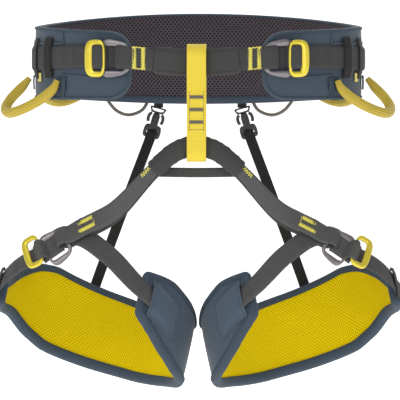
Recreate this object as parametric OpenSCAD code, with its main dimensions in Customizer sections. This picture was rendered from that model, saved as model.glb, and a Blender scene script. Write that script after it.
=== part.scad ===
// Climbing harness: padded waist belt, tie-in and belay loop, two padded leg
// loops with buckles, elastic risers with release clips, gear loops.
// Millimetres.  +Z is up, the wearer faces -Y, and the origin is the middle
// of the waist opening, level with the waist webbing.

/* [Waist belt] */
// Width of the waist hoop, measured between the middles of its padding
waist_w = 334; // [290:5:420]
// Depth of the waist hoop from front to back
waist_d = 206; // [180:2:290]
// Height of the belt at the middle of the back
belt_back_h = 96; // [80:1:120]
// Height of the belt at the wearer's hips
belt_side_h = 76; // [64:1:96]
// Thickness of the belt padding with its cover and lining
belt_pad_t = 10; // [8:0.5:14]
// Gap in the padding at the front, in degrees each side of the middle
belt_gap_deg = 24; // [18:1:34]

/* [Leg loops] */
// Width of a leg loop across the thigh
leg_w = 202; // [180:2:236]
// Depth of a leg loop from front to back, measured in its own plane
leg_d = 184; // [160:2:220]
// Height of the leg padding behind the thigh
leg_pad_h = 88; // [70:1:104]
// Thickness of the leg padding with its cover and lining
leg_pad_t = 10; // [8:0.5:12]
// How far the middle of a leg loop hangs below the waist webbing
leg_drop = 233; // [215:1:260]
// How far a leg loop leans down towards the back
leg_tilt = 32; // [24:1:38]

/* [Webbing] */
// Width of the load-bearing webbing
webbing_w = 24; // [20:1:28]
// Thickness of the webbing
webbing_t = 2; // [1.6:0.1:2.6]
// Width of the belay loop
belay_w = 20; // [16:1:26]
// Thickness of the belay loop's layered webbing
belay_t = 3.5; // [3:0.5:5]
// Distance between the two load points of the belay loop
belay_span = 85; // [82:1:96]

/* [Hardware] */
// Thickness of a buckle's metal plates
plate_t = 3.2; // [2.5:0.1:4]
// Width of a riser clip
clip_w = 18; // [16:1:22]
// Diameter of the moulded gear loops
gear_loop_dia = 10; // [8:0.5:12]
// Diameter of the haul cords
cord_dia = 3.5; // [3:0.5:5]

/* [Hidden] */
clear = 0.4;
bind_w = 8;
bind_room = bind_w + 0.8;
bind_over = 0.4;
cover_t = 1.6;
end_round = 24;
station = 6;
small = 0.3;

// Hoops: [half width, half depth].
waist = [waist_w / 2, waist_d / 2];
leg = [leg_w / 2, leg_d / 2];

// Layers of the waist belt, measured outwards from the middle of the padding.
belt_face = belt_pad_t / 2;
web_in = belt_face + bind_over + clear;
web_out = web_in + webbing_t;
frame_in = web_out + clear;
frame_out = frame_in + plate_t;
slider_in = frame_out + clear + 0.6;

leg_face = leg_pad_t / 2;
leg_web_in = leg_face + bind_over + clear;
leg_web_out = leg_web_in + webbing_t;

// Height of the webbing's middle every 30 degrees from the back round to the front:
// it rises towards the buckles and dips at the tie-in.
web_heights = [0, 0.5, 1.5, 2.4, 5.5, 8, 2];
web_z_front = web_heights[6];

// ---- small functions ----
function unit(v) = v / norm(v);
function mix(a, b, k) = a + (b - a) * k;
function turn_x(p, a) = [p.x, p.y * cos(a) - p.z * sin(a), p.y * sin(a) + p.z * cos(a)];
function turn_y(p, a) = [p.x * cos(a) + p.z * sin(a), p.y, p.z * cos(a) - p.x * sin(a)];

// A point on a hoop o: t degrees round from the back towards +X, height z,
// d outwards from the middle of the padding.
function hoop_normal(o, t) = unit([sin(t) / o.x, cos(t) / o.y]);
function on_hoop(o, t, z, d) = let (n = hoop_normal(o, t))
    [o.x * sin(t) + d * n.x, o.y * cos(t) + d * n.y, z];
// Millimetres along the hoop in one degree of t.
function hoop_speed(o, t) = norm([o.x * cos(t), o.y * sin(t)]) * PI / 180;

// Catmull-Rom curve through a list of points, n steps between neighbours.
function curve_at(a, b, c, d, k) = 0.5 * (2 * b + (c - a) * k
    + (2 * a - 5 * b + 4 * c - d) * k * k + (3 * b - a - 3 * c + d) * k * k * k);
function curve(p, n) = let (last = len(p) - 1) concat(
    [for (i = [0:last - 1], k = [0:n - 1])
        curve_at(p[max(i - 1, 0)], p[i], p[i + 1], p[min(i + 2, last)], k / n)], [p[last]]);

// Rings of a profile carried along a path; up is the way the profile's y points.
function heading(p, i) = unit(p[min(i + 1, len(p) - 1)] - p[max(i - 1, 0)]);
function carry(path, ups, profile) = [for (i = [0:len(path) - 1])
    let (h = heading(path, i), u = unit(cross(ups[i], h)), v = cross(h, u))
    [for (q = profile) path[i] + u * q.x + v * q.y]];
function flat_profile(w, t) = [[-w / 2, -t / 2], [w / 2, -t / 2], [w / 2, t / 2], [-w / 2, t / 2]];
function oval_profile(w, h, n) = [for (i = [0:n - 1]) [w / 2 * cos(360 * i / n), h / 2 * sin(360 * i / n)]];
function same(v, n) = [for (i = [1:n]) v];

// ---- solids from rings ----
function skin_faces(n, m, closed, start = 0) = [for (i = [0:m - (closed ? 1 : 2)], j = [0:n - 1])
    let (a = start + i * n + j, b = start + i * n + (j + 1) % n,
        c = start + (i + 1) % m * n + (j + 1) % n, d = start + (i + 1) % m * n + j)
    each [[a, d, c], [a, c, b]]];
function flip(faces) = [for (f = faces) [f[0], f[2], f[1]]];

module loft(rings, closed = false) {
    n = len(rings[0]);
    m = len(rings);
    caps = closed ? [] : [[for (j = [0:n - 1]) j], [for (j = [n - 1:-1:0]) (m - 1) * n + j]];
    polyhedron([for (r = rings, p = r) p], concat(skin_faces(n, m, closed), caps));
}

// A hollow sleeve: an outer and an inner skin with flat ring ends.
module sleeve(outer, inner) {
    n = len(outer[0]);
    m = len(outer);
    far = (m - 1) * n;
    in0 = m * n;
    near_end = [for (j = [0:n - 1]) let (k = (j + 1) % n)
        each [[j, k, in0 + k], [j, in0 + k, in0 + j]]];
    far_end = [for (j = [0:n - 1]) let (k = (j + 1) % n)
        each [[far + j, in0 + far + k, far + k], [far + j, in0 + far + j, in0 + far + k]]];
    polyhedron([for (r = concat(outer, inner), p = r) p],
        concat(skin_faces(n, m, false), flip(skin_faces(n, m, false, in0)), near_end, far_end));
}

// A layer of a hoop between angles ts, heights lo(t)..hi(t), offsets d0..d1.
module layer(o, ts, lo, hi, d0, d1, shear = 0) {
    loft([for (t = ts) [for (q = [[lo(t), d0], [lo(t), d1], [hi(t), d1], [hi(t), d0]])
        on_hoop(o, t, q[0], q[1]) + lean(o, t, q[0], shear)]]);
}

// The rim of such a layer: a band of width w round its whole outline.
module rim(o, ts, lo, hi, w, d0, d1, shear = 0) {
    last = len(ts) - 1;
    edge = concat([for (i = [0:last]) [ts[i], lo(ts[i])]], [[ts[last], mix(lo(ts[last]), hi(ts[last]), 0.5)]],
        [for (i = [last:-1:0]) [ts[i], hi(ts[i])]], [[ts[0], mix(lo(ts[0]), hi(ts[0]), 0.5)]]);
    m = len(edge);
    loft([for (i = [0:m - 1])
        let (p = edge[i], speed = hoop_speed(o, p[0]), q = edge[(i + 1) % m] - edge[(i + m - 1) % m],
            way = unit([q[0] * speed, q[1]]), s = [p[0] - way[1] * w / speed, p[1] + way[0] * w])
        [for (k = [[s, d0], [p, d0], [p, d1], [s, d1]])
            on_hoop(o, k[0][0], k[0][1], k[1]) + lean(o, k[0][0], k[0][1], shear)]], true);
}

// Leg loops are sheared so that their padding stands more upright than their plane.
function lean(o, t, z, shear) = [0, -shear * (z + leg_sag(t) * (shear == 0 ? 0 : 1)), 0];

// Something fixed to a hoop: X runs along it, Y points outwards, Z up.
module at_hoop(o, t, z, d, shear = 0) {
    n = hoop_normal(o, t);
    translate(on_hoop(o, t, z, d) + lean(o, t, z, shear)) rotate([0, 0, -atan2(n.x, n.y)])
        rotate([atan(shear * n.y), 0, 0]) children();
}

module plate(t) {
    rotate([90, 0, 0]) linear_extrude(t, center = true) children();
}

module right_side() {
    mirror([1, 0, 0]) children();
}

module both_sides() {
    children();
    right_side() children();
}

// ---- waist belt ----
belt_end = 180 - belt_gap_deg;
belt_end_h = 30;
belt_mid_z = -1.5;
function belt_mid(t) = belt_mid_z;
function belt_full(t) = belt_side_h / 2 + (belt_back_h - belt_side_h) / 2 * pow(max(0, cos(t)), 2)
    - 3 * pow(max(0, -cos(t)), 2);
// Half height at t of an outline that stays `inset` inside the belt's edge.
function belt_half(t, inset) = let (
        from_end = (belt_end - abs(t)) * hoop_speed(waist, belt_end) - inset,
        k = min(1, max(0, from_end / (end_round - inset))),
        full = belt_full(t) - inset, tip = belt_end_h / 2 - inset / 2)
    tip + (full - tip) * sqrt(1 - (1 - k) * (1 - k));
function belt_stations(inset) = let (
        speed = hoop_speed(waist, belt_end), last = belt_end - inset / speed, r = (end_round - inset) / speed,
        tips = [for (k = [0:4]) last - r * (1 - cos(22.5 * k))], n = ceil((last - r) * 2 / station))
    concat([for (k = [0:4]) -tips[k]], [for (i = [1:n - 1]) mix(-(last - r), last - r, i / n)],
        [for (k = [4:-1:0]) tips[k]]);

module belt_layer(d0, d1) {
    layer(waist, belt_stations(bind_room), function (t) belt_mid(t) - belt_half(t, bind_room),
        function (t) belt_mid(t) + belt_half(t, bind_room), d0, d1);
}

module belt_outer_shell() {
    color("slategray") belt_layer(belt_face - cover_t, belt_face);
}

module belt_foam_core() {
    color("gainsboro") belt_layer(-belt_face + cover_t + clear, belt_face - cover_t - clear);
}

module belt_mesh_lining() {
    color([0.23, 0.2, 0.24]) belt_layer(-belt_face, -belt_face + cover_t);
}

module belt_edge_binding() {
    color([0.27, 0.33, 0.42]) rim(waist, belt_stations(0), function (t) belt_mid(t) - belt_half(t, 0),
        function (t) belt_mid(t) + belt_half(t, 0), bind_w, -belt_face - bind_over, belt_face + bind_over);
}

// ---- waist webbing ----
function web_mid(t) = let (u = abs((t + 180) % 360 - 180) / 30, i = min(5, floor(u)))
    curve_at(web_heights[abs(i - 1)], web_heights[i], web_heights[i + 1], web_heights[i < 5 ? i + 2 : 5], u - i);
function web_span(from, to) = let (n = ceil(abs(to - from) / station)) [for (i = [0:n]) mix(from, to, i / n)];

frame_deg = 29.6;
slider_deg = 37.8;
frame_len = 31;
frame_h = 41.5;
slider_len = 22;
slider_h = 40;
web_front_end = frame_deg - 3.6;

module web_band(from, to, d0, d1, w) {
    layer(waist, web_span(from, to), function (t) web_mid(t) - w / 2, function (t) web_mid(t) + w / 2, d0, d1);
}

module waist_webbing() {
    color([0.27, 0.27, 0.27]) web_band(-180 + frame_deg, 180 - frame_deg, web_in, web_out, webbing_w);
}

front_in = web_in;
front_out = front_in + webbing_t;
module tie_in_webbing() {
    color([0.25, 0.25, 0.25])
        web_band(180 - web_front_end, 180 + web_front_end, front_in, front_out, webbing_w);
}

sleeve_deg = 14.8;
sleeve_wall = 1.2;
sleeve_room = 0.8;
sleeve_h = webbing_w + 2 * sleeve_room + 2 * sleeve_wall;
sleeve_in = front_in - sleeve_room - sleeve_wall;
sleeve_out = front_out + sleeve_room + sleeve_wall;
sleeve_cut = 1.5;

module tie_in_sleeve() {
    ts = web_span(180 - sleeve_deg, 180 + sleeve_deg);
    outer = [for (t = ts) [for (q = box_corners(sleeve_in, sleeve_out, sleeve_h / 2, sleeve_cut))
        on_hoop(waist, t, web_mid(t) + q.y, q.x)]];
    inner = [for (t = ts) [for (q = box_corners(sleeve_in + sleeve_wall, sleeve_out - sleeve_wall,
        sleeve_h / 2 - sleeve_wall, sleeve_cut / 3)) on_hoop(waist, t, web_mid(t) + q.y, q.x)]];
    color([0.26, 0.28, 0.27]) sleeve(outer, inner);
}
// Corners of a chamfered box section, from d0 to d1 and h up and down.
function box_corners(d0, d1, h, c) = [[d0 + c, -h], [d1 - c, -h], [d1, -h + c], [d1, h - c],
    [d1 - c, h], [d0 + c, h], [d0, h - c], [d0, -h + c]];

bartack_t = 1;
bartack_deg = 18.4;
module waist_bartacks() {
    color("gold") both_sides() web_band(-180 + bartack_deg, -180 + bartack_deg + 4.6, front_out + small,
        front_out + small + bartack_t, webbing_w - 2);
}

// ---- buckles: a fixed frame and a tilting slider ----
module frame_shape(len, h, bar) {
    difference() {
        polygon([[-len / 2, -bar], [-len / 2 + 2, -bar - 2], [len * 0.16, -h / 2], [len * 0.38, -h / 2],
            [len / 2, -h / 2 + 3.5], [len / 2, h / 2 - 3.5], [len * 0.38, h / 2], [len * 0.16, h / 2],
            [-len / 2 + 2, bar + 2], [-len / 2, bar]]);
        translate([-len / 2 + 3.5, -webbing_w / 2 - 0.8]) square([4, webbing_w + 1.6]);
        translate([-len / 2 + 13, -webbing_w / 2 - 1.5]) square([len - 17.5, webbing_w + 3]);
    }
}

module slider_shape(len, h) {
    difference() {
        polygon([[-len / 2, -h / 2 + 1], [-len / 2 + 1.5, -h / 2], [len * 0.18, -h / 2],
            [len / 2, -h / 2 + 8], [len / 2, h / 2 - 8], [len * 0.18, h / 2], [-len / 2 + 1.5, h / 2],
            [-len / 2, h / 2 - 1]]);
        translate([-len / 2 + 3.5, -webbing_w / 2 - 1]) square([7.5, webbing_w + 2]);
    }
}

module waist_buckle_frame_left() {
    color([0.54, 0.5, 0.54]) at_hoop(waist, -180 + frame_deg, web_mid(180 - frame_deg), frame_in + plate_t / 2)
        plate(plate_t) frame_shape(frame_len, frame_h, webbing_w / 2 + 1.5);
}

module waist_buckle_frame_right() {
    right_side() waist_buckle_frame_left();
}

module waist_buckle_slider_left() {
    color([0.93, 0.8, 0.15]) at_hoop(waist, -180 + slider_deg, web_mid(180 - slider_deg), slider_in + plate_t / 2)
        plate(plate_t) slider_shape(slider_len, slider_h);
}

module waist_buckle_slider_right() {
    right_side() waist_buckle_slider_left();
}

// ---- elastic keepers that hold the webbing's tail ----
keeper_t = 1.2;
keeper_h = 42;
keeper_half_deg = 4;
keeper_room = 1;
keeper_gap = 0.75;
module keeper(t) {
    top = webbing_w / 2 + keeper_room;
    foot = belt_face + 2 * small;
    over = web_out + keeper_gap;
    // Each ring is the band's section: [height, offset] of its inner and its outer side.
    sections = [[[-keeper_h / 2, foot], [-keeper_h / 2, foot + keeper_t]],
        [[-top, over], [-top - keeper_room, over + keeper_t]],
        [[top, over], [top + keeper_room, over + keeper_t]],
        [[keeper_h / 2, foot], [keeper_h / 2, foot + keeper_t]]];
    loft([for (s = sections) [for (q = [[s[0], -1], [s[0], 1], [s[1], 1], [s[1], -1]])
        on_hoop(waist, t + q[1] * keeper_half_deg, web_mid(t) + q[0][0], q[0][1])]]);
}

keeper_degs = [64.5, 77];
module waist_keepers_left() {
    color([0.08, 0.08, 0.09]) for (k = keeper_degs) keeper(-180 + k);
}

module waist_keepers_right() {
    right_side() waist_keepers_left();
}

// ---- gear loops ----
gear_off = 2.2;
gear_d = belt_face + gear_off + gear_loop_dia / 2;
gear_sides = 8;
gear_z = -18;
tab_h = 12;
gear_ends = [-123.5, -92, -66, -43];
front_gear_path = [on_hoop(waist, gear_ends[0], gear_z, gear_d), on_hoop(waist, -122.5, -26, gear_d + 1),
    on_hoop(waist, -119, -35, 18), on_hoop(waist, -114, -44, 26), on_hoop(waist, -108, -51, 34),
    on_hoop(waist, -102.5, -53, 38), on_hoop(waist, -98, -48, 37), on_hoop(waist, -94.5, -39, 30),
    on_hoop(waist, -92.5, -28, 19), on_hoop(waist, gear_ends[1], gear_z, gear_d)];
rear_gear_path = [on_hoop(waist, gear_ends[2], gear_z, gear_d), on_hoop(waist, gear_ends[2], gear_z - 11, gear_d + 1),
    on_hoop(waist, -63, gear_z - 23, gear_d + 4), on_hoop(waist, -55, gear_z - 28, gear_d + 6),
    on_hoop(waist, -47, gear_z - 23, gear_d + 4), on_hoop(waist, gear_ends[3], gear_z - 11, gear_d + 1),
    on_hoop(waist, gear_ends[3], gear_z, gear_d)];

module gear_loop(path, up) {
    line = curve(path, 3);
    loft(carry(line, same(up, len(line)), oval_profile(gear_loop_dia, gear_loop_dia, gear_sides)));
}

module gear_loop_front_left() {
    color([0.8, 0.68, 0.2]) gear_loop(front_gear_path, [0.75, 0.1, -0.9]);
}

module gear_loop_front_right() {
    right_side() gear_loop_front_left();
}

module gear_loop_rear_left() {
    color([0.8, 0.68, 0.2]) gear_loop(rear_gear_path, [0.9, -0.5, 0.2]);
}

module gear_loop_rear_right() {
    right_side() gear_loop_rear_left();
}

// Fabric tabs behind the ends of the gear loops.
module gear_tab(t) {
    layer(waist, [t - 3.4, t, t + 3.4], function (t) gear_z - tab_h + 1.5, function (t) gear_z + 1.5,
        belt_face + small, belt_face + small + 1.4);
}

module gear_loop_tabs_left() {
    color([0.3, 0.38, 0.47]) for (t = gear_ends) gear_tab(t);
}

module gear_loop_tabs_right() {
    right_side() gear_loop_tabs_left();
}

// ---- haul cords at the back ----
cord_sides = 8;
cord_d = belt_face + bind_over + small + cord_dia / 2;
haul_path = [on_hoop(waist, -37, -34, cord_d), on_hoop(waist, -35, -44, cord_d), on_hoop(waist, -31, -56, cord_d + 1),
    on_hoop(waist, -26, -61, cord_d + 2), on_hoop(waist, -21, -56, cord_d + 1), on_hoop(waist, -18.6, -44, cord_d),
    on_hoop(waist, -18, -34, cord_d)];
module haul_cord_left() {
    line = curve(haul_path, 4);
    color([0.45, 0.42, 0.36]) loft(carry(line, same([0.4, 0.9, 0], len(line)),
        oval_profile(cord_dia, cord_dia, cord_sides)));
}

module haul_cord_right() {
    right_side() haul_cord_left();
}

// ---- belay loop: a band of layered webbing round the tie-in sleeve and the bridge ----
tie_in_y = -waist.y - (sleeve_in + sleeve_out) / 2;
belay_r = 8.2;
belay_room = 2;
belay_top = web_z_front + sleeve_h / 2 + belay_room - belay_r;
belay_fit = 5.6;
belay_low = belay_top - belay_span - belay_r - belay_fit;
module belay_shape(r) {
    translate([-r, belay_low]) square([2 * r, belay_top - belay_low]);
    translate([0, belay_low]) circle(r, $fn = 48);
    translate([0, belay_top]) circle(r, $fn = 48);
}

module belay_loop() {
    color([0.91, 0.78, 0.11]) translate([-belay_w / 2, tie_in_y, 0]) rotate([90, 0, 90]) linear_extrude(belay_w)
        difference() {
            belay_shape(belay_r + belay_t);
            belay_shape(belay_r);
        }
}

stitch_low = 30;
stitch_gap = 13;
stitch_h = 4;
stitch_t = 0.6;
module belay_loop_stitching() {
    color("dimgray") for (i = [0:2])
        translate([0, tie_in_y - belay_r - belay_t - small - stitch_t / 2, belay_low + stitch_low + i * stitch_gap])
            cube([belay_w - 7, stitch_t, stitch_h], center = true);
}

// ---- bridge between the leg loops ----
bridge_w = 23;
bridge_t = 15;
bridge_wall = 1.2;
bridge_bore = [bridge_w - 2 * bridge_wall, bridge_t - 2 * bridge_wall];
bridge_rest = 5.2;
bridge_top = belay_low + bridge_rest;
bridge_half = [[0, 0], [20, -5], [36, -16], [48, -28]];
function bridge_point(p) = [p.x, tie_in_y, bridge_top + p.y];
bridge_line = concat([for (i = [3:-1:1]) bridge_point([-bridge_half[i].x, bridge_half[i].y])],
    [for (p = bridge_half) bridge_point(p)]);
bridge_rings = 4;

module bridge_sleeve() {
    line = curve(bridge_line, bridge_rings);
    ups = same([0, -1, 0], len(line));
    color([0.32, 0.32, 0.31]) sleeve(carry(line, ups, oval_profile(bridge_w, bridge_t, 12)),
        carry(line, ups, oval_profile(bridge_bore.x, bridge_bore.y, 12)));
}

tape_len = 6;
module bridge_end_tapes() {
    line = curve(bridge_line, bridge_rings);
    way = unit(line[0] - line[1]);
    path = [line[0] + way * small, line[0] + way * (small + tape_len)];
    ups = same([0, -1, 0], 2);
    color("gold") both_sides() sleeve(carry(path, ups, oval_profile(bridge_w + 1, bridge_t, 12)),
        carry(path, ups, oval_profile(bridge_bore.x + 1, bridge_bore.y, 12)));
}

// ---- leg loops (left one; the right one is its mirror image) ----
leg_roll = 12.4;
leg_shear = 0.3;
// How far the band's middle sags below the loop's plane, every 20 degrees from the front
// over the outside of the thigh, the back and the inside to the front again.
leg_sags = [19, 3, 23, 34, 43, 30, 9, 1, 2, 6, 13, 25, 39, 54, 62, 62, 54, 43, 19];
function leg_sag(t) = let (u = (t + 180) % 360 / 20, i = floor(u))
    curve_at(leg_sags[(i + 17) % 18], leg_sags[i], leg_sags[i + 1], leg_sags[(i + 2) % 18], u - i);
// Slope of the band along the loop, and how much taller than its width a sloping strap stands.
function leg_slope(t) = (leg_sag(t + 1) - leg_sag(t - 1)) / 2 / hoop_speed(leg, t);
function leg_stretch(t) = norm([1, leg_slope(t)]);
leg_outer_end = -100;
leg_inner_end = 156;
// Half height of the padding round the leg, as a share of leg_pad_h.
leg_shape = [[-100, 0.15], [-80, 0.19], [-60, 0.29], [-45, 0.42], [-30, 0.49], [0, 0.47], [30, 0.45],
    [60, 0.4], [90, 0.38], [115, 0.42], [134, 0.4], [145, 0.33], [156, 0.25]];
function leg_half(t) = leg_pad_h * lookup(t, leg_shape);
function leg_edge(t, side) = -leg_sag(t) + side * leg_half(t);
// The lower (side -1) or upper (side 1) outline, moved inwards square to its slope.
function leg_inset(t, side, inset) = leg_edge(t, side) - side * inset
    * norm([1, (leg_edge(t + 2, side) - leg_edge(t - 2, side)) / 4 / hoop_speed(leg, t)]);
function leg_low(t, inset) = leg_inset(t, -1, inset);
function leg_high(t, inset) = leg_inset(t, 1, inset);
function leg_stations(inset) = let (a = leg_outer_end + inset / hoop_speed(leg, leg_outer_end),
        b = leg_inner_end - inset / hoop_speed(leg, leg_inner_end), n = ceil((b - a) / station))
    [for (i = [0:n]) mix(a, b, i / n)];

// A point of the leg loop, w across the padding, in the harness's own frame.
function leg_way(v) = turn_y(turn_x(v, -leg_tilt), leg_roll);
function leg_local(t, w, d) = on_hoop(leg, t, w - leg_sag(t), d) + [0, -leg_shear * w, 0];
// The two leg loops touch side by side: the centre lies as far out as the binding reaches in.
leg_reach = max([for (t = [0:3:leg_inner_end], side = [-1, 1])
    leg_way(leg_local(t, side * leg_half(t), leg_face + bind_over)).x]);
leg_gap = 0.1;
leg_centre = [-leg_reach - leg_gap, -5, -leg_drop];
function leg_point(t, w, d) = leg_centre + leg_way(leg_local(t, w, d));

// Something fixed flat on the leg loop's band, turned along its slope.
module at_leg(t, d) {
    leg_frame() at_hoop(leg, t, -leg_sag(t), d, leg_shear) rotate([0, atan(leg_slope(t)), 0]) children();
}

module leg_frame() {
    translate(leg_centre) rotate([-leg_tilt, leg_roll, 0]) children();
}

module leg_layer(d0, d1) {
    leg_frame() layer(leg, leg_stations(bind_room), function (t) leg_low(t, bind_room),
        function (t) leg_high(t, bind_room), d0, d1, leg_shear);
}

module leg_shell_left() {
    color("slategray") leg_layer(leg_face - cover_t, leg_face);
}

module leg_shell_right() {
    right_side() leg_shell_left();
}

module leg_foam_left() {
    color("gainsboro") leg_layer(-leg_face + cover_t + clear, leg_face - cover_t - clear);
}

module leg_foam_right() {
    right_side() leg_foam_left();
}

module leg_lining_left() {
    color([0.88, 0.75, 0.05]) leg_layer(-leg_face, -leg_face + cover_t);
}

module leg_lining_right() {
    right_side() leg_lining_left();
}

module leg_binding_left() {
    color([0.27, 0.33, 0.42]) leg_frame() rim(leg, leg_stations(0), function (t) leg_low(t, 0),
        function (t) leg_high(t, 0), bind_w, -leg_face - bind_over, leg_face + bind_over, leg_shear);
}

module leg_binding_right() {
    right_side() leg_binding_left();
}

// Webbing round the front of the thigh, in two pieces that meet at the buckle.
leg_web_w = 22;
leg_frame_t = -147;
leg_slider_t = -137;
module leg_web(from, to, d0, d1, w) {
    leg_frame() layer(leg, web_span(from, to), function (t) -leg_sag(t) - w / 2 * leg_stretch(t),
        function (t) -leg_sag(t) + w / 2 * leg_stretch(t), d0, d1, leg_shear);
}

module leg_inner_strap_left() {
    color([0.33, 0.33, 0.33]) leg_web(leg_inner_end - 14, leg_frame_t + 360 - 5, leg_web_in, leg_web_out, leg_web_w);
}

module leg_inner_strap_right() {
    right_side() leg_inner_strap_left();
}

module leg_adjuster_webbing_left() {
    color([0.3, 0.3, 0.3]) leg_web(leg_frame_t, leg_outer_end + 16, leg_web_in, leg_web_out, leg_web_w);
}

module leg_adjuster_webbing_right() {
    right_side() leg_adjuster_webbing_left();
}

leg_plate_in = leg_web_out + clear + 1.4;
leg_slider_in = leg_plate_in + plate_t + clear + 1;
module leg_buckle_frame_left() {
    color([0.54, 0.5, 0.54]) at_leg(leg_frame_t, leg_plate_in + plate_t / 2)
        plate(plate_t) frame_shape(28, 36, leg_web_w / 2 + 1);
}

module leg_buckle_frame_right() {
    right_side() leg_buckle_frame_left();
}

module leg_buckle_slider_left() {
    color([0.93, 0.8, 0.15]) at_leg(leg_slider_t, leg_slider_in + plate_t / 2)
        plate(plate_t) slider_shape(20, 35);
}

module leg_buckle_slider_right() {
    right_side() leg_buckle_slider_left();
}

leg_keeper_t = -107;
module leg_keepers() {
    color([0.08, 0.08, 0.09]) both_sides() leg_web(leg_keeper_t - 3, leg_keeper_t + 3, leg_web_out + small,
        leg_web_out + small + keeper_t, leg_web_w + 4);
}

// Strap from one leg loop through the bridge sleeve to the other.
strap_w = 18;
strap_t = 2.4;
strap_d = leg_web_out + clear + strap_t / 2;
strap_up = leg_way([0, -1, 0]);
strap_turn = [-37, 5.8, -36.2];
strap_left = [leg_point(-157, -2, strap_d + 1.6), leg_point(-166, 12, strap_d + 2.6),
    bridge_line[0] + strap_turn];
function mirrored(p) = [for (i = [len(p) - 1:-1:0]) [-p[i].x, p[i].y, p[i].z]];
strap_ups = [strap_up, strap_up, [0, -0.95, 0.2]];
strap_line = curve(concat(strap_left, bridge_line, mirrored(strap_left)), bridge_rings);
strap_faces = curve(concat(strap_ups, same([0, -1, 0], len(bridge_line)), mirrored(strap_ups)), bridge_rings);
module bridge_webbing() {
    color([0.35, 0.35, 0.34]) loft(carry(strap_line, strap_faces, flat_profile(strap_w, strap_t)));
}

bartack_rings = [1:5];
module leg_bartacks() {
    rise = strap_t / 2 + 2 * small + bartack_t / 2;
    patch = [for (q = flat_profile(strap_w - 3, bartack_t)) [q.x, q.y + rise]];
    rings = carry(strap_line, strap_faces, patch);
    color("gold") both_sides() loft([for (i = bartack_rings) rings[i]]);
}

// Flat strap behind the bridge that keeps the leg loops together.
cross_size = [84, 2, 10];
cross_below = 28;
module cross_strap() {
    y = tie_in_y + bridge_t / 2 + small + cross_size.y;
    color([0.3, 0.3, 0.29]) translate([0, y, bridge_top - cross_below]) cube(cross_size, center = true);
}

// ---- risers: belt tab, release clip and elastic strap ----
clip_lean = 16;
clip_t = 7;
clip_wall = 1.3;
clip_h = 26;
clip_depth = 17;
tab_deg = -15;
tab_top = -26;
tab_w = 10;
tab_t = 1.2;
tab_start = on_hoop(waist, tab_deg, tab_top, belt_face + bind_over + clear + tab_t / 2);
clip_out = 1.73;
clip_behind = 8;
clip_z = -60;
clip_pos = [tab_start.x - clip_out, waist.y + clip_behind, clip_z];
module clip_frame() {
    translate(clip_pos) rotate([0, clip_lean, 0]) children();
}

// The male half: a bar for the tab, and a guide tongue.
male_h = 6.5;
male_t = 4;
tongue = [3, 2.4, 12];
module riser_clip_male_left() {
    color([0.24, 0.24, 0.25]) clip_frame() difference() {
        union() {
            translate([-clip_w / 2 + 1, -male_t / 2, small]) cube([clip_w - 2, male_t, male_h]);
            translate([-tongue.x / 2, -tongue.y / 2, -tongue.z]) cube([tongue.x, tongue.y, tongue.z + 1]);
        }
        translate([-clip_w / 2 + 3, -3, 2.6]) cube([clip_w - 6, 6, 2]);
    }
}

module riser_clip_male_right() {
    right_side() riser_clip_male_left();
}

prong_x = 5.4;
prong_len = 13;
module prong() {
    translate([prong_x - 1, -1.7, -prong_len]) cube([2, 3.4, prong_len - small]);
    translate([prong_x, -1.7, -prong_len]) cube([clip_w / 2 - clip_wall - small - prong_x, 3.4, 5]);
}

module riser_prong_outer_left() {
    color([0.24, 0.24, 0.25]) clip_frame() mirror([1, 0, 0]) prong();
}

module riser_prong_outer_right() {
    right_side() riser_prong_outer_left();
}

module riser_prong_inner_left() {
    color([0.24, 0.24, 0.25]) clip_frame() prong();
}

module riser_prong_inner_right() {
    right_side() riser_prong_inner_left();
}

// The female half: a pocket with side windows, and a slotted foot for the strap.
module riser_clip_female_left() {
    inner_w = clip_w - 2 * clip_wall;
    color([0.24, 0.24, 0.25]) clip_frame() difference() {
        translate([-clip_w / 2, -clip_t / 2, -clip_h]) cube([clip_w, clip_t, clip_h]);
        translate([-inner_w / 2, -clip_t / 2 + clip_wall, -clip_depth])
            cube([inner_w, clip_t - 2 * clip_wall, clip_depth + 1]);
        translate([-clip_w, -1.9, -prong_len - 0.8]) cube([2 * clip_w, 3.8, 8]);
        translate([-6, -clip_t, -clip_h + 2.2]) cube([12, 2 * clip_t, 3]);
    }
}

module riser_clip_female_right() {
    right_side() riser_clip_female_left();
}

module riser_tab_left() {
    n = hoop_normal(waist, tab_deg);
    path = [tab_start, [tab_start.x, tab_start.y + small, -42], [clip_pos.x + 1.8, clip_pos.y - small, clip_pos.z + male_h + 2.4]];
    color([0.12, 0.12, 0.12]) loft(carry(path, same([n.x, n.y, 0], 3), flat_profile(tab_w, tab_t)));
}

module riser_tab_right() {
    right_side() riser_tab_left();
}

riser_w = 11;
riser_t = 1.6;
riser_foot = -4;
module riser_strap_left() {
    foot_d = leg_face + bind_over + clear + riser_t / 2;
    start = clip_pos + turn_y([0, 0, -clip_h - 2 * small], clip_lean);
    end_way = leg_way([0, 1, 0]);
    path = [start, mix(start, leg_point(riser_foot, 52, foot_d + 2), 0.5), leg_point(riser_foot, 50, foot_d + 2),
        leg_point(riser_foot, 36, foot_d), leg_point(riser_foot, 22, foot_d)];
    ups = [[0, 1, 0], [0, 1, 0], mix([0, 1, 0], end_way, 0.6), end_way, end_way];
    color([0.1, 0.1, 0.11]) loft(carry(curve(path, 4), curve(ups, 4), flat_profile(riser_w, riser_t)));
}

module riser_strap_right() {
    right_side() riser_strap_left();
}

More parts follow.
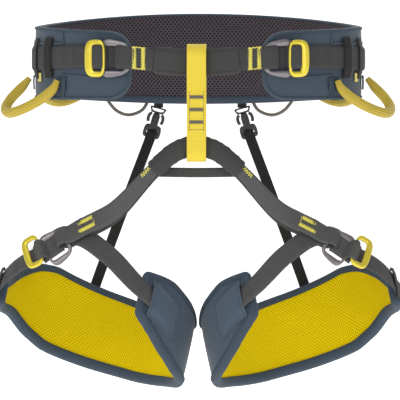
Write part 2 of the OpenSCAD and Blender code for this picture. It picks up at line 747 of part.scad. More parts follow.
belt_outer_shell();
belt_foam_core();
belt_mesh_lining();
belt_edge_binding();
waist_webbing();
tie_in_webbing();
tie_in_sleeve();
waist_bartacks();
waist_buckle_frame_left();
waist_buckle_frame_right();
waist_buckle_slider_left();
waist_buckle_slider_right();
waist_keepers_left();
waist_keepers_right();
gear_loop_front_left();
gear_loop_front_right();
gear_loop_rear_left();
gear_loop_rear_right();
gear_loop_tabs_left();
gear_loop_tabs_right();
haul_cord_left();
haul_cord_right();
belay_loop();
belay_loop_stitching();
bridge_sleeve();
bridge_end_tapes();
bridge_webbing();
cross_strap();
leg_shell_left();
leg_shell_right();
leg_foam_left();
leg_foam_right();
leg_lining_left();
leg_lining_right();
leg_binding_left();
leg_binding_right();
leg_inner_strap_left();
leg_inner_strap_right();
leg_adjuster_webbing_left();
leg_adjuster_webbing_right();
leg_buckle_frame_left();
leg_buckle_frame_right();
leg_buckle_slider_left();
leg_buckle_slider_right();
leg_bartacks();
leg_keepers();
riser_clip_male_left();
riser_clip_male_right();
riser_prong_outer_left();
riser_prong_outer_right();
riser_prong_inner_left();
riser_prong_inner_right();
riser_clip_female_left();
riser_clip_female_right();
riser_tab_left();
riser_tab_right();
riser_strap_left();
riser_strap_right();
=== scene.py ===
# %% [markdown]
# # A climbing harness, sewn piece by piece
# A harness is flat things bent round a body: padding, tape, webbing and a few metal plates.
# Each one can be worked out as a surface over two numbers, so numpy makes whole grids of
# points at once and Blender only has to receive them. Lengths are in millimetres until the
# last step, when they are put into metres, because a harness maker thinks in millimetres.

# %% Load the model as a fixed frame
import math

import bpy
import numpy as np
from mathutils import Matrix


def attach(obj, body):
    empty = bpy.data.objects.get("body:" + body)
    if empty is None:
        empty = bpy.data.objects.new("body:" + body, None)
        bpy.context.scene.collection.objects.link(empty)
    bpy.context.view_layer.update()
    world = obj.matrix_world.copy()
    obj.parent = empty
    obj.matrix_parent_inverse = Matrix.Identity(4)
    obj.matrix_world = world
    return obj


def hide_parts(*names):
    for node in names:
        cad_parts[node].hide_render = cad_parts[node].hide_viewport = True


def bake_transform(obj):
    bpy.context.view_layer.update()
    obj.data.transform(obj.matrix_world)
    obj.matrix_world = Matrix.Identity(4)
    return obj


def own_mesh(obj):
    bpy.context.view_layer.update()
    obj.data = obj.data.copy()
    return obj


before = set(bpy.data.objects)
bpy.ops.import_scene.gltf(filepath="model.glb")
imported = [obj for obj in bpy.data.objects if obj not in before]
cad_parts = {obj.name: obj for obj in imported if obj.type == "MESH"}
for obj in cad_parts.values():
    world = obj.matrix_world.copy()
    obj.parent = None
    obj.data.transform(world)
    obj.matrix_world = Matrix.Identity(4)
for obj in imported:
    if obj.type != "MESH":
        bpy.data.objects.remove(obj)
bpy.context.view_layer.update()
MM = 0.001
scene = bpy.context.scene

# %% [markdown]
# ## The camera, the floor and the light
# The harness hangs in the open. A long lens far away keeps the front
# and the back of the belt nearly the same size. The floor curves up into a wall behind, so
# no horizon shows, and large soft lamps give the even light that shows a weave.

# %% Camera
VIEW_TURN, VIEW_RISE = math.radians(1.0), math.radians(3.0)
VIEW_WIDTH, VIEW_FAR = 0.42, 9.0
view_right = np.array([math.cos(VIEW_TURN), math.sin(VIEW_TURN), 0.0])
view_way = np.array([
    -math.sin(VIEW_TURN) * math.cos(VIEW_RISE), math.cos(VIEW_TURN) * math.cos(VIEW_RISE), -math.sin(VIEW_RISE)])
view_up = np.cross(view_right, view_way)
look_at = view_right * 0.0016 - view_up * 0.146

lens = bpy.data.cameras.new("camera")
lens.sensor_width = 36.0
lens.lens = 36.0 * VIEW_FAR / VIEW_WIDTH
lens.clip_start, lens.clip_end = 0.1, 90.0
camera = bpy.data.objects.new("camera", lens)
camera.location = look_at - view_way * VIEW_FAR
camera.rotation_euler = (math.pi / 2 - VIEW_RISE, 0.0, VIEW_TURN)
scene.collection.objects.link(camera)
scene.camera = camera
scene.view_settings.view_transform = "Standard"
print("camera", [round(x, 3) for x in camera.location], "lens", round(lens.lens, 1))


# %% Nodes, in one line each
def add(tree, kind, inputs=None, **settings):
    """A node of this kind; an input that is a socket is linked, and any other is set."""
    node = tree.nodes.new(kind)
    for key, value in settings.items():
        setattr(node, key, value)
    for key, value in (inputs or {}).items():
        if isinstance(value, bpy.types.NodeSocket):
            tree.links.new(value, node.inputs[key])
        else:
            node.inputs[key].default_value = value
    return node


def new_material(name, **constants):
    """A material with one Principled shader; constants go straight onto its sockets."""
    material = bpy.data.materials.new(name)
    material.use_nodes = True
    shader = material.node_tree.nodes["Principled BSDF"]
    for key, value in constants.items():
        shader.inputs[key.replace("_", " ")].default_value = value
    return material, material.node_tree, shader


def maths(tree, operation, a, b=0.0):
    """A Math node's result."""
    return add(tree, "ShaderNodeMath", {0: a, 1: b}, operation=operation).outputs[0]


def blend_colours(tree, amount, low, high):
    """low where amount is 0, and high where it is 1."""
    node = add(tree, "ShaderNodeMix", {0: amount}, data_type="RGBA")
    for socket, colour in ((node.inputs[6], low), (node.inputs[7], high)):
        if isinstance(colour, bpy.types.NodeSocket):
            tree.links.new(colour, socket)
        else:
            socket.default_value = (*colour, 1.0)
    return node.outputs[2]


def shade(colour, k):
    """The same colour, k times as bright."""
    return tuple(min(1.0, c * k) for c in colour)


# %% Floor, wall and lamps
FLOOR_Z, SWEEP_SIDE, SWEEP_FLAT, SWEEP_ROUND = -0.42, 30.0, 14.0, 6.0  # metres


def sweep_of_paper():
    """A sheet of paper: flat, then a quarter circle up, then upright; height over depth."""
    turn = np.linspace(0.1, np.pi / 2, 16)
    deep = np.concatenate([np.linspace(-SWEEP_SIDE, SWEEP_FLAT, 9), SWEEP_FLAT + SWEEP_ROUND * np.sin(turn),
                           np.full(4, SWEEP_FLAT + SWEEP_ROUND)])
    high = np.concatenate([np.zeros(9), SWEEP_ROUND - SWEEP_ROUND * np.cos(turn), [10, 16, 22, SWEEP_SIDE]])
    wide = np.linspace(-SWEEP_SIDE, SWEEP_SIDE, 7)
    points = np.stack(np.broadcast_arrays(wide[None, :], deep[:, None], high[:, None] + FLOOR_Z), -1)
    m, n = points.shape[:2]
    i, j = np.meshgrid(np.arange(m - 1), np.arange(n - 1), indexing="ij")
    quads = np.stack([i * n + j, i * n + j + 1, (i + 1) * n + j + 1, (i + 1) * n + j], -1).reshape(-1, 4)
    mesh = bpy.data.meshes.new("paper_sweep")
    mesh.from_pydata(points.reshape(-1, 3).tolist(), [], quads.tolist())
    mesh.shade_smooth()
    return bpy.data.objects.new("paper_sweep", mesh)


paper, paper_tree, paper_shader = new_material("white_paper", Roughness=0.9)
grain = add(paper_tree, "ShaderNodeTexNoise", {"Scale": 3.0})
paper_white = blend_colours(paper_tree, grain.outputs[0], (0.93, 0.93, 0.93), (0.96, 0.96, 0.96))
paper_tree.links.new(paper_white, paper_shader.inputs["Base Color"])
paper_shader.inputs["Emission Color"].default_value = (1, 1, 1, 1)
paper_shader.inputs["Emission Strength"].default_value = 0.6
backdrop = sweep_of_paper()
backdrop.data.materials.append(paper)
scene.collection.objects.link(backdrop)

LAMPS = [  # name, place, size, watts
    ("key_softbox", (-1.3, -2.4, 1.2), 1.5, 25.0),
    ("fill_softbox", (1.6, -2.4, -0.1), 1.6, 12.0),
    ("top_softbox", (0.1, 0.3, 2.1), 1.4, 8.0),
    ("back_softbox", (0.4, 2.1, 0.9), 1.6, 16.0),
]
for name, place, size, watts in LAMPS:
    light = bpy.data.lights.new(name, "AREA")
    light.size, light.energy = size, watts
    lamp = bpy.data.objects.new(name, light)
    lamp.location = place
    aim = np.array([0.0, 0.0, -0.12]) - np.array(place)
    pitch, turn = math.atan2(math.hypot(aim[0], aim[1]), -aim[2]), math.atan2(-aim[0], aim[1])
    lamp.rotation_euler = (pitch, 0.0, turn)
    scene.collection.objects.link(lamp)
world = bpy.data.worlds.new("studio")
world.use_nodes = True
world.node_tree.nodes["Background"].inputs[0].default_value = (1, 1, 1, 1)
world.node_tree.nodes["Background"].inputs[1].default_value = 0.38
scene.world = world
print("lamps", len(LAMPS))

# %% [markdown]
# ## Measuring along a body
# A waist or a thigh is close to an ellipse. A point on the harness is therefore an angle t
# in degrees round that ellipse, 0 at the back and rising towards +X, a height z, and a
# distance d outwards from the middle of the padding. A leg loop is the same thing, tilted
# and rolled, with a band that sags between its high and low points. Only the side at -X is
# worked out, and the other one is its mirror image.


# %% Small vector helpers
def unit(v):
    """Each vector divided by its own length."""
    return v / np.maximum(np.linalg.norm(v, axis=-1, keepdims=True), 1e-12)


def spline(values, u):
    """Catmull-Rom through evenly spaced values; u counts from the second value."""
    values = np.asarray(values, float)
    i = np.clip(np.floor(u).astype(int), 0, len(values) - 4)
    k = (np.asarray(u, float) - i)
    a, b, c, d = (values[i + n] for n in range(4))
    if values.ndim > 1:
        k = k[..., None]
    return 0.5 * (2 * b + (c - a) * k + (2 * a - 5 * b + 4 * c - d) * k**2 + (3 * b - a - 3 * c + d) * k**3)


def through(points, count):
    """A smooth curve through the points, with count samples between neighbours."""
    p = np.asarray(points, float)
    return spline(np.concatenate([p[:1], p, p[-1:]]), np.linspace(0, len(p) - 1, (len(p) - 1) * count + 1))


def run_along(points, closed=False):
    """Distance along a path at each of its points."""
    steps = np.diff(np.concatenate([points, points[:1]]) if closed else points, axis=0)
    return np.concatenate([[0.0], np.cumsum(np.linalg.norm(steps, axis=-1))])


def resample(points, step, *others, closed=False):
    """The path at even steps, and what goes with it: normals, widths."""
    s = run_along(points, closed)
    count = max(3, int(round(s[-1] / step)) + (0 if closed else 1))
    at = np.linspace(0, s[-1], count, endpoint=not closed)
    out = []
    for values in (points, *others):
        values = np.asarray(values, float)
        if closed:
            values = np.concatenate([values, values[:1]])
        flat = values.reshape(len(values), -1)
        new = np.stack([np.interp(at, s, column) for column in flat.T], -1)
        out.append(new.reshape((count,) + values.shape[1:]))
    return out


# %% The waist's ellipse, its belt and its webbing line
WAIST = np.array([167.0, 103.0])
LEG = np.array([101.0, 92.0])


def hoop_normal(hoop, t):
    """Outwards at t: sine over the half width and cosine over the half depth, one long."""
    a = np.radians(np.asarray(t, float))
    return unit(np.stack([np.sin(a) / hoop[0], np.cos(a) / hoop[1], 0 * a], -1))


def on_hoop(hoop, t, z, d):
    """The ellipse's point at t, d further along its normal, at height z."""
    t, z, d = np.broadcast_arrays(np.asarray(t, float), z, d)
    a = np.radians(t)
    flat = np.stack([hoop[0] * np.sin(a), hoop[1] * np.cos(a), z], -1)
    return flat + hoop_normal(hoop, t) * d[..., None]


def on_belt(t, z, d):
    """A point at t on the waist's ellipse, at height z, d outwards."""
    return on_hoop(WAIST, t, z, d)


def belt_normal(t):
    """Outwards from the belt at t."""
    return hoop_normal(WAIST, t)


def hoop_speed(hoop, t):
    """Millimetres along the ellipse in one degree of t."""
    a = np.radians(t)
    return np.hypot(hoop[0] * np.cos(a), hoop[1] * np.sin(a)) * np.pi / 180


BELT_END, BELT_MID_Z, BELT_BACK_H, BELT_SIDE_H, TIP_H, END_ROUND = 156.0, -1.5, 96.0, 76.0, 30.0, 24.0
WEB_HEIGHTS = [0.5, 0, 0.5, 1.5, 2.4, 5.5, 8, 2, 8]


def belt_half(t):
    """Half the belt's height: taller at the back, and rounded to a low tip at each end."""
    c = np.cos(np.radians(t))
    full = BELT_SIDE_H / 2 + (BELT_BACK_H - BELT_SIDE_H) / 2 * np.maximum(0, c) ** 2 - 3 * np.maximum(0, -c) ** 2
    k = np.clip((BELT_END - np.abs(t)) * hoop_speed(WAIST, BELT_END) / END_ROUND, 0, 1)
    return TIP_H / 2 + (full - TIP_H / 2) * np.sqrt(1 - (1 - k) ** 2)


def web_mid(t):
    """Height of the webbing's middle: it rises to the buckles and dips at the tie-in."""
    return spline(WEB_HEIGHTS, np.abs((np.asarray(t, float) + 180) % 360 - 180) / 30)


# %% A leg loop's ellipse and its sagging band
LEG_CENTRE = np.array([-100.909, -5.0, -233.0])
LEG_TILT, LEG_ROLL, LEG_SHEAR = np.radians(32.0), np.radians(12.4), 0.3
LEG_SAGS = [43, 19, 3, 23, 34, 43, 30, 9, 1, 2, 6, 13, 25, 39, 54, 62, 62, 54, 43, 19, 3]
LEG_OUTER_END, LEG_INNER_END, LEG_PAD_H = -100.0, 156.0, 88.0
LEG_SHAPE = np.array([
    [-100, .15], [-80, .19], [-60, .29], [-45, .42], [-30, .49], [0, .47], [30, .45], [60, .4], [90, .38],
    [115, .42], [134, .4], [145, .33], [156, .25]])


def leg_sag(t):
    """How far the band hangs below its plane at t."""
    return spline(LEG_SAGS, ((np.asarray(t, float) + 180) % 360) / 20)


def leg_way(v):
    """A direction of the leg loop's own frame, tilted back and rolled outwards."""
    x, y, z = np.moveaxis(np.asarray(v, float), -1, 0)
    y, z = y * np.cos(LEG_TILT) + z * np.sin(LEG_TILT), z * np.cos(LEG_TILT) - y * np.sin(LEG_TILT)
    return np.stack([x * np.cos(LEG_ROLL) + z * np.sin(LEG_ROLL), y, z * np.cos(LEG_ROLL) - x * np.sin(LEG_ROLL)], -1)


def leg_point(t, w, d):
    """w across the band and d outwards from its padding, at t round the left leg loop."""
    t, w, d = np.broadcast_arrays(np.asarray(t, float), w, d)
    local = on_hoop(LEG, t, w - leg_sag(t), d)
    local[..., 1] -= LEG_SHEAR * w
    return LEG_CENTRE + leg_way(local)


def leg_half(t):
    """Half the height of the leg padding at t."""
    return LEG_PAD_H * np.interp(t, LEG_SHAPE[:, 0], LEG_SHAPE[:, 1])


print("belt height at the back", round(float(2 * belt_half(np.array(0.0)))), "and at the hip",
      round(float(2 * belt_half(np.array(90.0)))), "mm")

# %% [markdown]
# ## From grids of points to Blender meshes
# Every new piece is one or more grids. A grid may close round one way, as a tube does, or
# both ways, as a ring does. Each corner of each face also gets a place in millimetres on
# the cloth, its UV, so that a weave keeps its true scale on any piece.


# %% Grids, tubes and rows of small things
def grid(points, wrap=(False, False), caps=False, uv_step=None):
    """Quads between neighbours of an m by n grid, with the mean distances as their UV."""
    m, n = points.shape[:2]
    wrap_u, wrap_v = wrap
    i, j = np.meshgrid(np.arange(m if wrap_u else m - 1), np.arange(n if wrap_v else n - 1), indexing="ij")
    i1, j1 = (i + 1) % m, (j + 1) % n
    quads = np.stack([i * n + j, i1 * n + j, i1 * n + j1, i * n + j1], -1).reshape(-1, 4)
    if uv_step is None:
        pu, pv = np.concatenate([points, points[:1]]), np.concatenate([points, points[:, :1]], 1)
        us = np.concatenate([[0], np.cumsum(np.linalg.norm(np.diff(pu, axis=0), axis=-1).mean(1))])
        vs = np.concatenate([[0], np.cumsum(np.linalg.norm(np.diff(pv, axis=1), axis=-1).mean(0))])
    else:
        us, vs = np.arange(m + 1) * uv_step[0], np.arange(n + 1) * uv_step[1]
    uv = np.stack([np.stack([us[a], vs[b]], -1) for a, b in ((i, j), (i + 1, j), (i + 1, j + 1), (i, j + 1))], -2)
    faces, corners, verts = quads.tolist(), [uv.reshape(-1, 2)], [points.reshape(-1, 3)]
    if caps:
        k = np.arange(n)
        for ring, centre, first in ((0, m * n, True), (m - 1, m * n + 1, False)):
            verts.append(points[ring].mean(0)[None])
            a, b = ring * n + k, ring * n + (k + 1) % n
            fan = np.stack([np.full(n, centre), a, b] if first else [np.full(n, centre), b, a], -1)
            faces += fan.tolist()
            cap_uv = np.stack([np.full(n, us[ring]), vs[:n]], -1)
            corners.append(np.repeat(cap_uv[:, None], 3, 1).reshape(-1, 2))
    return np.concatenate(verts), faces, np.concatenate(corners)


def rod(rings):
    """Rings of points joined into a closed bar, with a cap on each end."""
    return grid(rings, wrap=(False, True), caps=True)


def closed_ring(rings):
    """Rings of points joined into a bar whose last ring meets its first."""
    return grid(rings, wrap=(True, True))


def carry(path, normals, profile, scale=None):
    """A profile carried along a path: x goes across it, and y along its normals."""
    ahead = unit(np.gradient(path, axis=0))
    side = unit(np.cross(normals, ahead))
    up = np.cross(ahead, side)
    profile = np.broadcast_to(profile, (len(path),) + np.shape(profile)[-2:])
    if scale is not None:
        profile = profile * scale[:, None, :]
    return path[:, None] + side[:, None] * profile[..., :1] + up[:, None] * profile[..., 1:]


def beads(places, ahead, up, long, thick, sides=6):
    """Many short stitches at once: rings of growing and shrinking size along each one."""
    x = np.array([-0.5, -0.38, 0, 0.38, 0.5]) * long
    r = np.array([0.25, 0.85, 1, 0.85, 0.25]) * thick / 2
    lift = np.array([-0.55, 0.05, 0.3, 0.05, -0.55]) * thick
    a = np.arange(sides) * 2 * np.pi / sides
    side = unit(np.cross(up, ahead))
    up = np.cross(ahead, side)
    ring = side[:, None, None] * (r[:, None] * np.cos(a))[..., None] + up[:, None, None] * (
        r[:, None] * np.sin(a) + lift[:, None])[..., None]
    points = places[:, None, None] + ahead[:, None, None] * x[:, None, None] + ring
    k, m, n = points.shape[:3]
    i, j = np.meshgrid(np.arange(m - 1), np.arange(n), indexing="ij")
    j1 = (j + 1) % n
    quads = np.stack([i * n + j, (i + 1) * n + j, (i + 1) * n + j1, i * n + j1], -1).reshape(-1, 4)
    ends = np.stack([np.arange(n), (m - 1) * n + np.arange(n)[::-1]])
    starts = np.arange(k) * m * n
    faces = (quads[None] + starts[:, None, None]).reshape(-1, 4).tolist()
    faces += (ends[None] + starts[:, None, None]).reshape(-1, n).tolist()
    corner = np.stack([x[i] + long, a[j] * thick], -1)
    uv = np.broadcast_to(np.repeat(corner.reshape(-1, 1, 2), 4, 1)[None], (k, quads.shape[0], 4, 2)).reshape(-1, 2)
    return points.reshape(-1, 3), faces, np.concatenate([uv, np.zeros((k * 2 * n, 2))])


def stitches(path, normals, pitch=3.6, long=2.6, thick=0.7, closed=False):
    """A row of stitches along a path, one every pitch."""
    places, up = resample(path, pitch, normals, closed=closed)
    if closed:
        ahead = unit(np.roll(places, -1, 0) - np.roll(places, 1, 0))
    else:
        ahead = unit(np.gradient(places, axis=0))
    return beads(places, ahead, unit(up), long, thick)


def zigzag(corner, along, across, rows, turns, up, thick=0.75):
    """A bar tack: one thread to and fro across a bar, as a thin tube."""
    k = np.arange(turns * 2 + 1)
    flat = corner + along * (k / (turns * 2))[:, None] + across * (k % 2)[:, None] * rows
    line = through(flat, 3)
    a = np.arange(6) * np.pi / 3
    ring = np.stack([np.cos(a), np.sin(a)], -1) * thick / 2
    return rod(carry(line, np.broadcast_to(up, line.shape), ring))


# %% One function that makes every piece
def flipped(points):
    """The same points on the other side of the harness."""
    return points * np.array([-1.0, 1.0, 1.0])


def enclosed(points, faces):
    """Six times the volume inside, which is below nothing when the faces point inwards."""
    total = 0.0
    for size in (3, 4, 6):
        some = np.array([f for f in faces if len(f) == size])
        if len(some):
            p = points[some]
            for k in range(1, size - 1):
                total += np.einsum("ij,ij->i", p[:, 0], np.cross(p[:, k], p[:, k + 1])).sum()
    return total


def piece(name, parts, material, body, slot, replaces=(), mirror=False, levels=0, ride=True):
    """Puts grids together as one object, faces outwards, and lets it ride on its body."""
    verts, faces, uvs, first = [], [], [], 0
    for points, some, uv in parts:
        points = flipped(points) if mirror else points
        verts.append(points)
        if enclosed(points - points.mean(0), some) < 0:
            sizes = np.array([len(f) for f in some])
            ends = np.cumsum(sizes)
            uv = np.concatenate([uv[e - s:e][::-1] for s, e in zip(sizes, ends)])
            some = [f[::-1] for f in some]
        faces += [[v + first for v in f] for f in some]
        uvs.append(uv)
        first += len(points)
    mesh = bpy.data.meshes.new(name)
    mesh.from_pydata((np.concatenate(verts) * MM).tolist(), [], faces)
    layer = mesh.uv_layers.new(name="cloth_uv")
    layer.data.foreach_set("uv", np.concatenate(uvs).astype(np.float32).ravel())
    mesh.shade_smooth()
    mesh.materials.append(material)
    made = bpy.data.objects.new(name, mesh)
    scene.collection.objects.link(made)
    if levels:
        finer = made.modifiers.new("finer", "SUBSURF")
        finer.levels = finer.render_levels = levels
    if replaces:
        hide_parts(*replaces)
    if ride:
        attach(made, body)
    return made


SIDES = (("left", False), ("right", True))


def pair(name, parts, material, body, slot, replaces=(), **more):
    """A piece at the left and its mirror image. A body or a node that ends in _ has one for
    each side, and any other node is replaced by the left piece alone."""
    made = []
    for side, mirror in SIDES:
        nodes = [n + side if n.endswith("_") else n for n in replaces if n.endswith("_") or not mirror]
        own_body = body + side if body.endswith("_") else body
        made.append(piece(f"{name}_{side}", parts, material, own_body, slot, nodes, mirror, **more))
    return made


# %% [markdown]
# ## Finishes
# Nearly all of the harness is woven. A weave is two sets of ridges at right angles, so two
# waves on the UV, one along and one across, give its bump and a faint painted shade in its
# grooves. Colour also drifts slowly over a dyed cloth, and that comes from a noise on the
# object's own place.


# %% Woven cloth and webbing
def uv_millimetres(tree):
    """The piece's own UV, in millimetres, as two sockets."""
    uv = add(tree, "ShaderNodeUVMap", uv_map="cloth_uv")
    split = add(tree, "ShaderNodeSeparateXYZ", {0: uv.outputs[0]})
    return split.outputs[0], split.outputs[1]


def half_wave(tree, along, pitch):
    """0.5 + 0.5 sin(2 pi along / pitch)."""
    turn = maths(tree, "MULTIPLY", along, 2 * math.pi / pitch)
    return maths(tree, "ADD", maths(tree, "MULTIPLY", maths(tree, "SINE", turn), 0.5), 0.5)


def drift(tree, scale, detail=3.0):
    """Slow change over the object's own coordinates."""
    place = add(tree, "ShaderNodeTexCoord").outputs["Object"]
    return add(tree, "ShaderNodeTexNoise", {"Vector": place, "Scale": scale, "Detail": detail}).outputs[0]


def finish(tree, shader, colour, height, strength, depth):
    """Links a colour, and a bump that is depth millimetres high, to the shader."""
    tree.links.new(colour, shader.inputs["Base Color"])
    bump = add(tree, "ShaderNodeBump", {"Strength": strength, "Distance": depth * MM, "Height": height})
    tree.links.new(bump.outputs[0], shader.inputs["Normal"])


def cloth(name, colour, along=0.9, across=0.7, depth=0.12, roughness=0.82, sheen=0.25, shade_contrast=0.3, worn=0.12):
    """Woven cloth: ridges every `along` and `across` millimetres in painted shade and highlight, with dyed drift and
    dust.
    """
    material, tree, shader = new_material(
        name, Roughness=roughness, Sheen_Weight=sheen, Sheen_Roughness=0.5, Specular_IOR_Level=0.3)
    u, v = uv_millimetres(tree)
    ridges = maths(tree, "MULTIPLY", half_wave(tree, u, along), half_wave(tree, v, across))
    base = blend_colours(tree, drift(tree, 26.0), shade(colour, 1 - worn), shade(colour, 1 + worn))
    # threads paints shade between the weave's ridges and highlight on them, following the bump.
    threads = blend_colours(tree, ridges, shade(colour, 1 - shade_contrast), shade(colour, 1 + shade_contrast))
    both = add(tree, "ShaderNodeMix", {0: 0.5, 6: base, 7: threads}, data_type="RGBA").outputs[2]
    fuzz = drift(tree, 900.0, 2.0)
    final = blend_colours(tree, maths(tree, "MULTIPLY", fuzz, 0.12), both, shade(colour, 1.9))
    finish(tree, shader, final, maths(tree, "ADD", ridges, maths(tree, "MULTIPLY", fuzz, 0.4)), 0.55, depth)
    return material


def webbing(name, colour, rib, depth=0.15, shade_contrast=0.4, roughness=0.62, sheen=0.12):
    """Webbing: a thick rib across it every `rib` millimetres, and fine threads along it, with painted shade in the
    grooves and painted highlight on the tops.
    """
    material, tree, shader = new_material(
        name, Roughness=roughness, Sheen_Weight=sheen, Sheen_Roughness=0.4, Specular_IOR_Level=0.4)
    u, v = uv_millimetres(tree)
    ribs = half_wave(tree, u, rib)
    threads = half_wave(tree, v, 0.62)
    # The grooves between ribs and threads are painted darker as shade (low) and the tops lighter as highlight (high);
    # worn lightens the groove colour at random.
    low = blend_colours(tree, threads, shade(colour, 1 - shade_contrast), shade(colour, 1 - shade_contrast * 0.5))
    high = blend_colours(tree, threads, shade(colour, 0.95), shade(colour, 1 + shade_contrast * 0.6))
    worn = blend_colours(tree, drift(tree, 60.0), low, shade(colour, 1 - shade_contrast * 0.4))
    height = maths(tree, "ADD", ribs, maths(tree, "MULTIPLY", threads, 0.35))
    finish(tree, shader, blend_colours(tree, ribs, worn, high), height, 0.6, depth)
    return material


# %% Spacer mesh: rows of oval holes painted dark as shade, each row shifted by half a step
def spacer_mesh(name, colour, hole, pitch=(4.2, 4.2), oval=(0.30, 0.24), shade_contrast=0.25, sheen=0.15):
    """Distance to the nearest of two interleaved rows of ovals decides cloth or hole; holes get painted shade."""
    material, tree, shader = new_material(
        name, Roughness=0.9, Sheen_Weight=sheen, Sheen_Roughness=0.5, Specular_IOR_Level=0.1)
    u, v = uv_millimetres(tree)
    near = []
    for shift in (0.0, 0.5):
        place = []
        for socket, step, wide in ((u, pitch[0], oval[0]), (v, pitch[1], oval[1])):
            cell = maths(tree, "FRACT", maths(tree, "ADD", maths(tree, "DIVIDE", socket, step), shift))
            place.append(maths(tree, "DIVIDE", maths(tree, "SUBTRACT", cell, 0.5), wide))
        near.append(maths(tree, "SQRT", maths(
            tree, "ADD", maths(tree, "MULTIPLY", place[0], place[0]), maths(tree, "MULTIPLY", place[1], place[1]))))
    gap = maths(tree, "MINIMUM", near[0], near[1])
    solid = add(tree, "ShaderNodeMapRange", {"Value": gap, "From Min": 0.62, "From Max": 1.0},
                interpolation_type="SMOOTHSTEP").outputs[0]
    threads = maths(tree, "MULTIPLY", half_wave(tree, u, 0.8), half_wave(tree, v, 0.6))
    # yarn paints shade between the threads and highlight on them.
    yarn = blend_colours(tree, threads, shade(colour, 1 - shade_contrast), shade(colour, 1 + shade_contrast))
    drifted = blend_colours(tree, maths(tree, "MULTIPLY", drift(tree, 30.0), 0.6), yarn, shade(colour, 0.85))
    height = maths(tree, "ADD", solid, maths(tree, "MULTIPLY", threads, 0.2))
    # The holes are real openings; the darker colour in them is painted shade.
    finish(tree, shader, blend_colours(tree, solid, hole, drifted), height, 0.9, 0.7)
    return material


# %% Anodised metal, moulded plastic and thread
def anodised(name, colour, wear):
    """Dyed aluminium: satin, with fine scratches and a paler rub where the noise is high."""
    material, tree, shader = new_material(name, Metallic=0.55, Coat_Weight=0.25, Coat_Roughness=0.25)
    place = add(tree, "ShaderNodeTexCoord").outputs["Object"]
    long = add(tree, "ShaderNodeMapping", {"Vector": place, "Scale": (90.0, 90.0, 1400.0)}).outputs[0]
    scratch = add(tree, "ShaderNodeTexNoise", {"Vector": long, "Scale": 1.0, "Detail": 4.0}).outputs[0]
    worn = drift(tree, 160.0, 4.0)
    rub = add(tree, "ShaderNodeMapRange", {"Value": worn, "From Min": 0.55, "From Max": 0.75}).outputs[0]
    base = blend_colours(tree, maths(tree, "MULTIPLY", rub, 0.35), colour, wear)
    final = blend_colours(tree, maths(tree, "MULTIPLY", scratch, 0.18), base, shade(colour, 0.7))
    tree.links.new(maths(tree, "ADD", maths(tree, "MULTIPLY", scratch, 0.3), 0.2), shader.inputs["Roughness"])
    finish(tree, shader, final, scratch, 0.25, 0.05)
    return material


def plastic(name, colour, roughness, grain_size, strength=0.2):
    """Moulded plastic: a fine grain left by the mould, and a slight change of colour."""
    material, tree, shader = new_material(name, Specular_IOR_Level=0.45)
    fine = drift(tree, grain_size)
    rough = maths(tree, "ADD", maths(tree, "MULTIPLY", fine, 0.25), roughness - 0.12)
    tree.links.new(rough, shader.inputs["Roughness"])
    final = blend_colours(tree, drift(tree, 45.0), shade(colour, 0.86), shade(colour, 1.12))
    finish(tree, shader, final, fine, strength, 0.15)
    return material


def thread(name, colour):
    """Twisted thread: slanted strands, two waves of the UV added together, painted darker between the strands as shade
    and lighter on them as highlight.
    """
    material, tree, shader = new_material(name, Roughness=0.6, Sheen_Weight=0.2, Sheen_Roughness=0.4)
    u, v = uv_millimetres(tree)
    twist = half_wave(tree, maths(tree, "ADD", u, maths(tree, "MULTIPLY", v, 0.8)), 0.9)
    finish(tree, shader, blend_colours(tree, twist, shade(colour, 0.7), shade(colour, 1.15)), twist, 0.5, 0.1)
    return material


def braid(name, colour):
    """A braided sheath: two sets of strands that cross, one slanting each way, painted much darker between the strands
    as shade.
    """
    material, tree, shader = new_material(name, Roughness=0.7, Sheen_Weight=0.2, Sheen_Roughness=0.5)
    u, v = uv_millimetres(tree)
    one = half_wave(tree, maths(tree, "ADD", u, v), 1.3)
    two = half_wave(tree, maths(tree, "SUBTRACT", u, v), 1.3)
    strands = maths(tree, "MAXIMUM", one, two)
    finish(tree, shader, blend_colours(tree, strands, shade(colour, 0.45), shade(colour, 1.2)), strands, 0.7, 0.3)
    return material


# %% The harness's own finishes
BLUE = (0.056, 0.082, 0.116)
blue_cloth = cloth("slate_blue_cloth", BLUE, along=0.8, across=0.8, depth=0.1, shade_contrast=0.14)
# The belt's blue cloth is the leg loops' blue cloth made darker: painted shade over the belt.
shade_darkened_belt_cloth = cloth("shade_darkened_slate_blue_belt_cloth", shade(BLUE, 0.82), along=0.8, across=0.8, depth=0.1, shade_contrast=0.14)
blue_tape = cloth("slate_blue_tape", shade(BLUE, 0.8), along=1.1, across=0.7, depth=0.14, shade_contrast=0.3, sheen=0.04)
# Each spacer mesh's second colour is painted shade in its holes.
dark_mesh = spacer_mesh("plum_grey_spacer_mesh", (0.1, 0.082, 0.098), (0.009, 0.008, 0.01))
yellow_mesh = spacer_mesh("yellow_spacer_mesh", (1.0, 0.74, 0.002), (0.55, 0.36, 0.001), (3.4, 3.0), (0.26, 0.22),
                          shade_contrast=0.1, sheen=0.0)
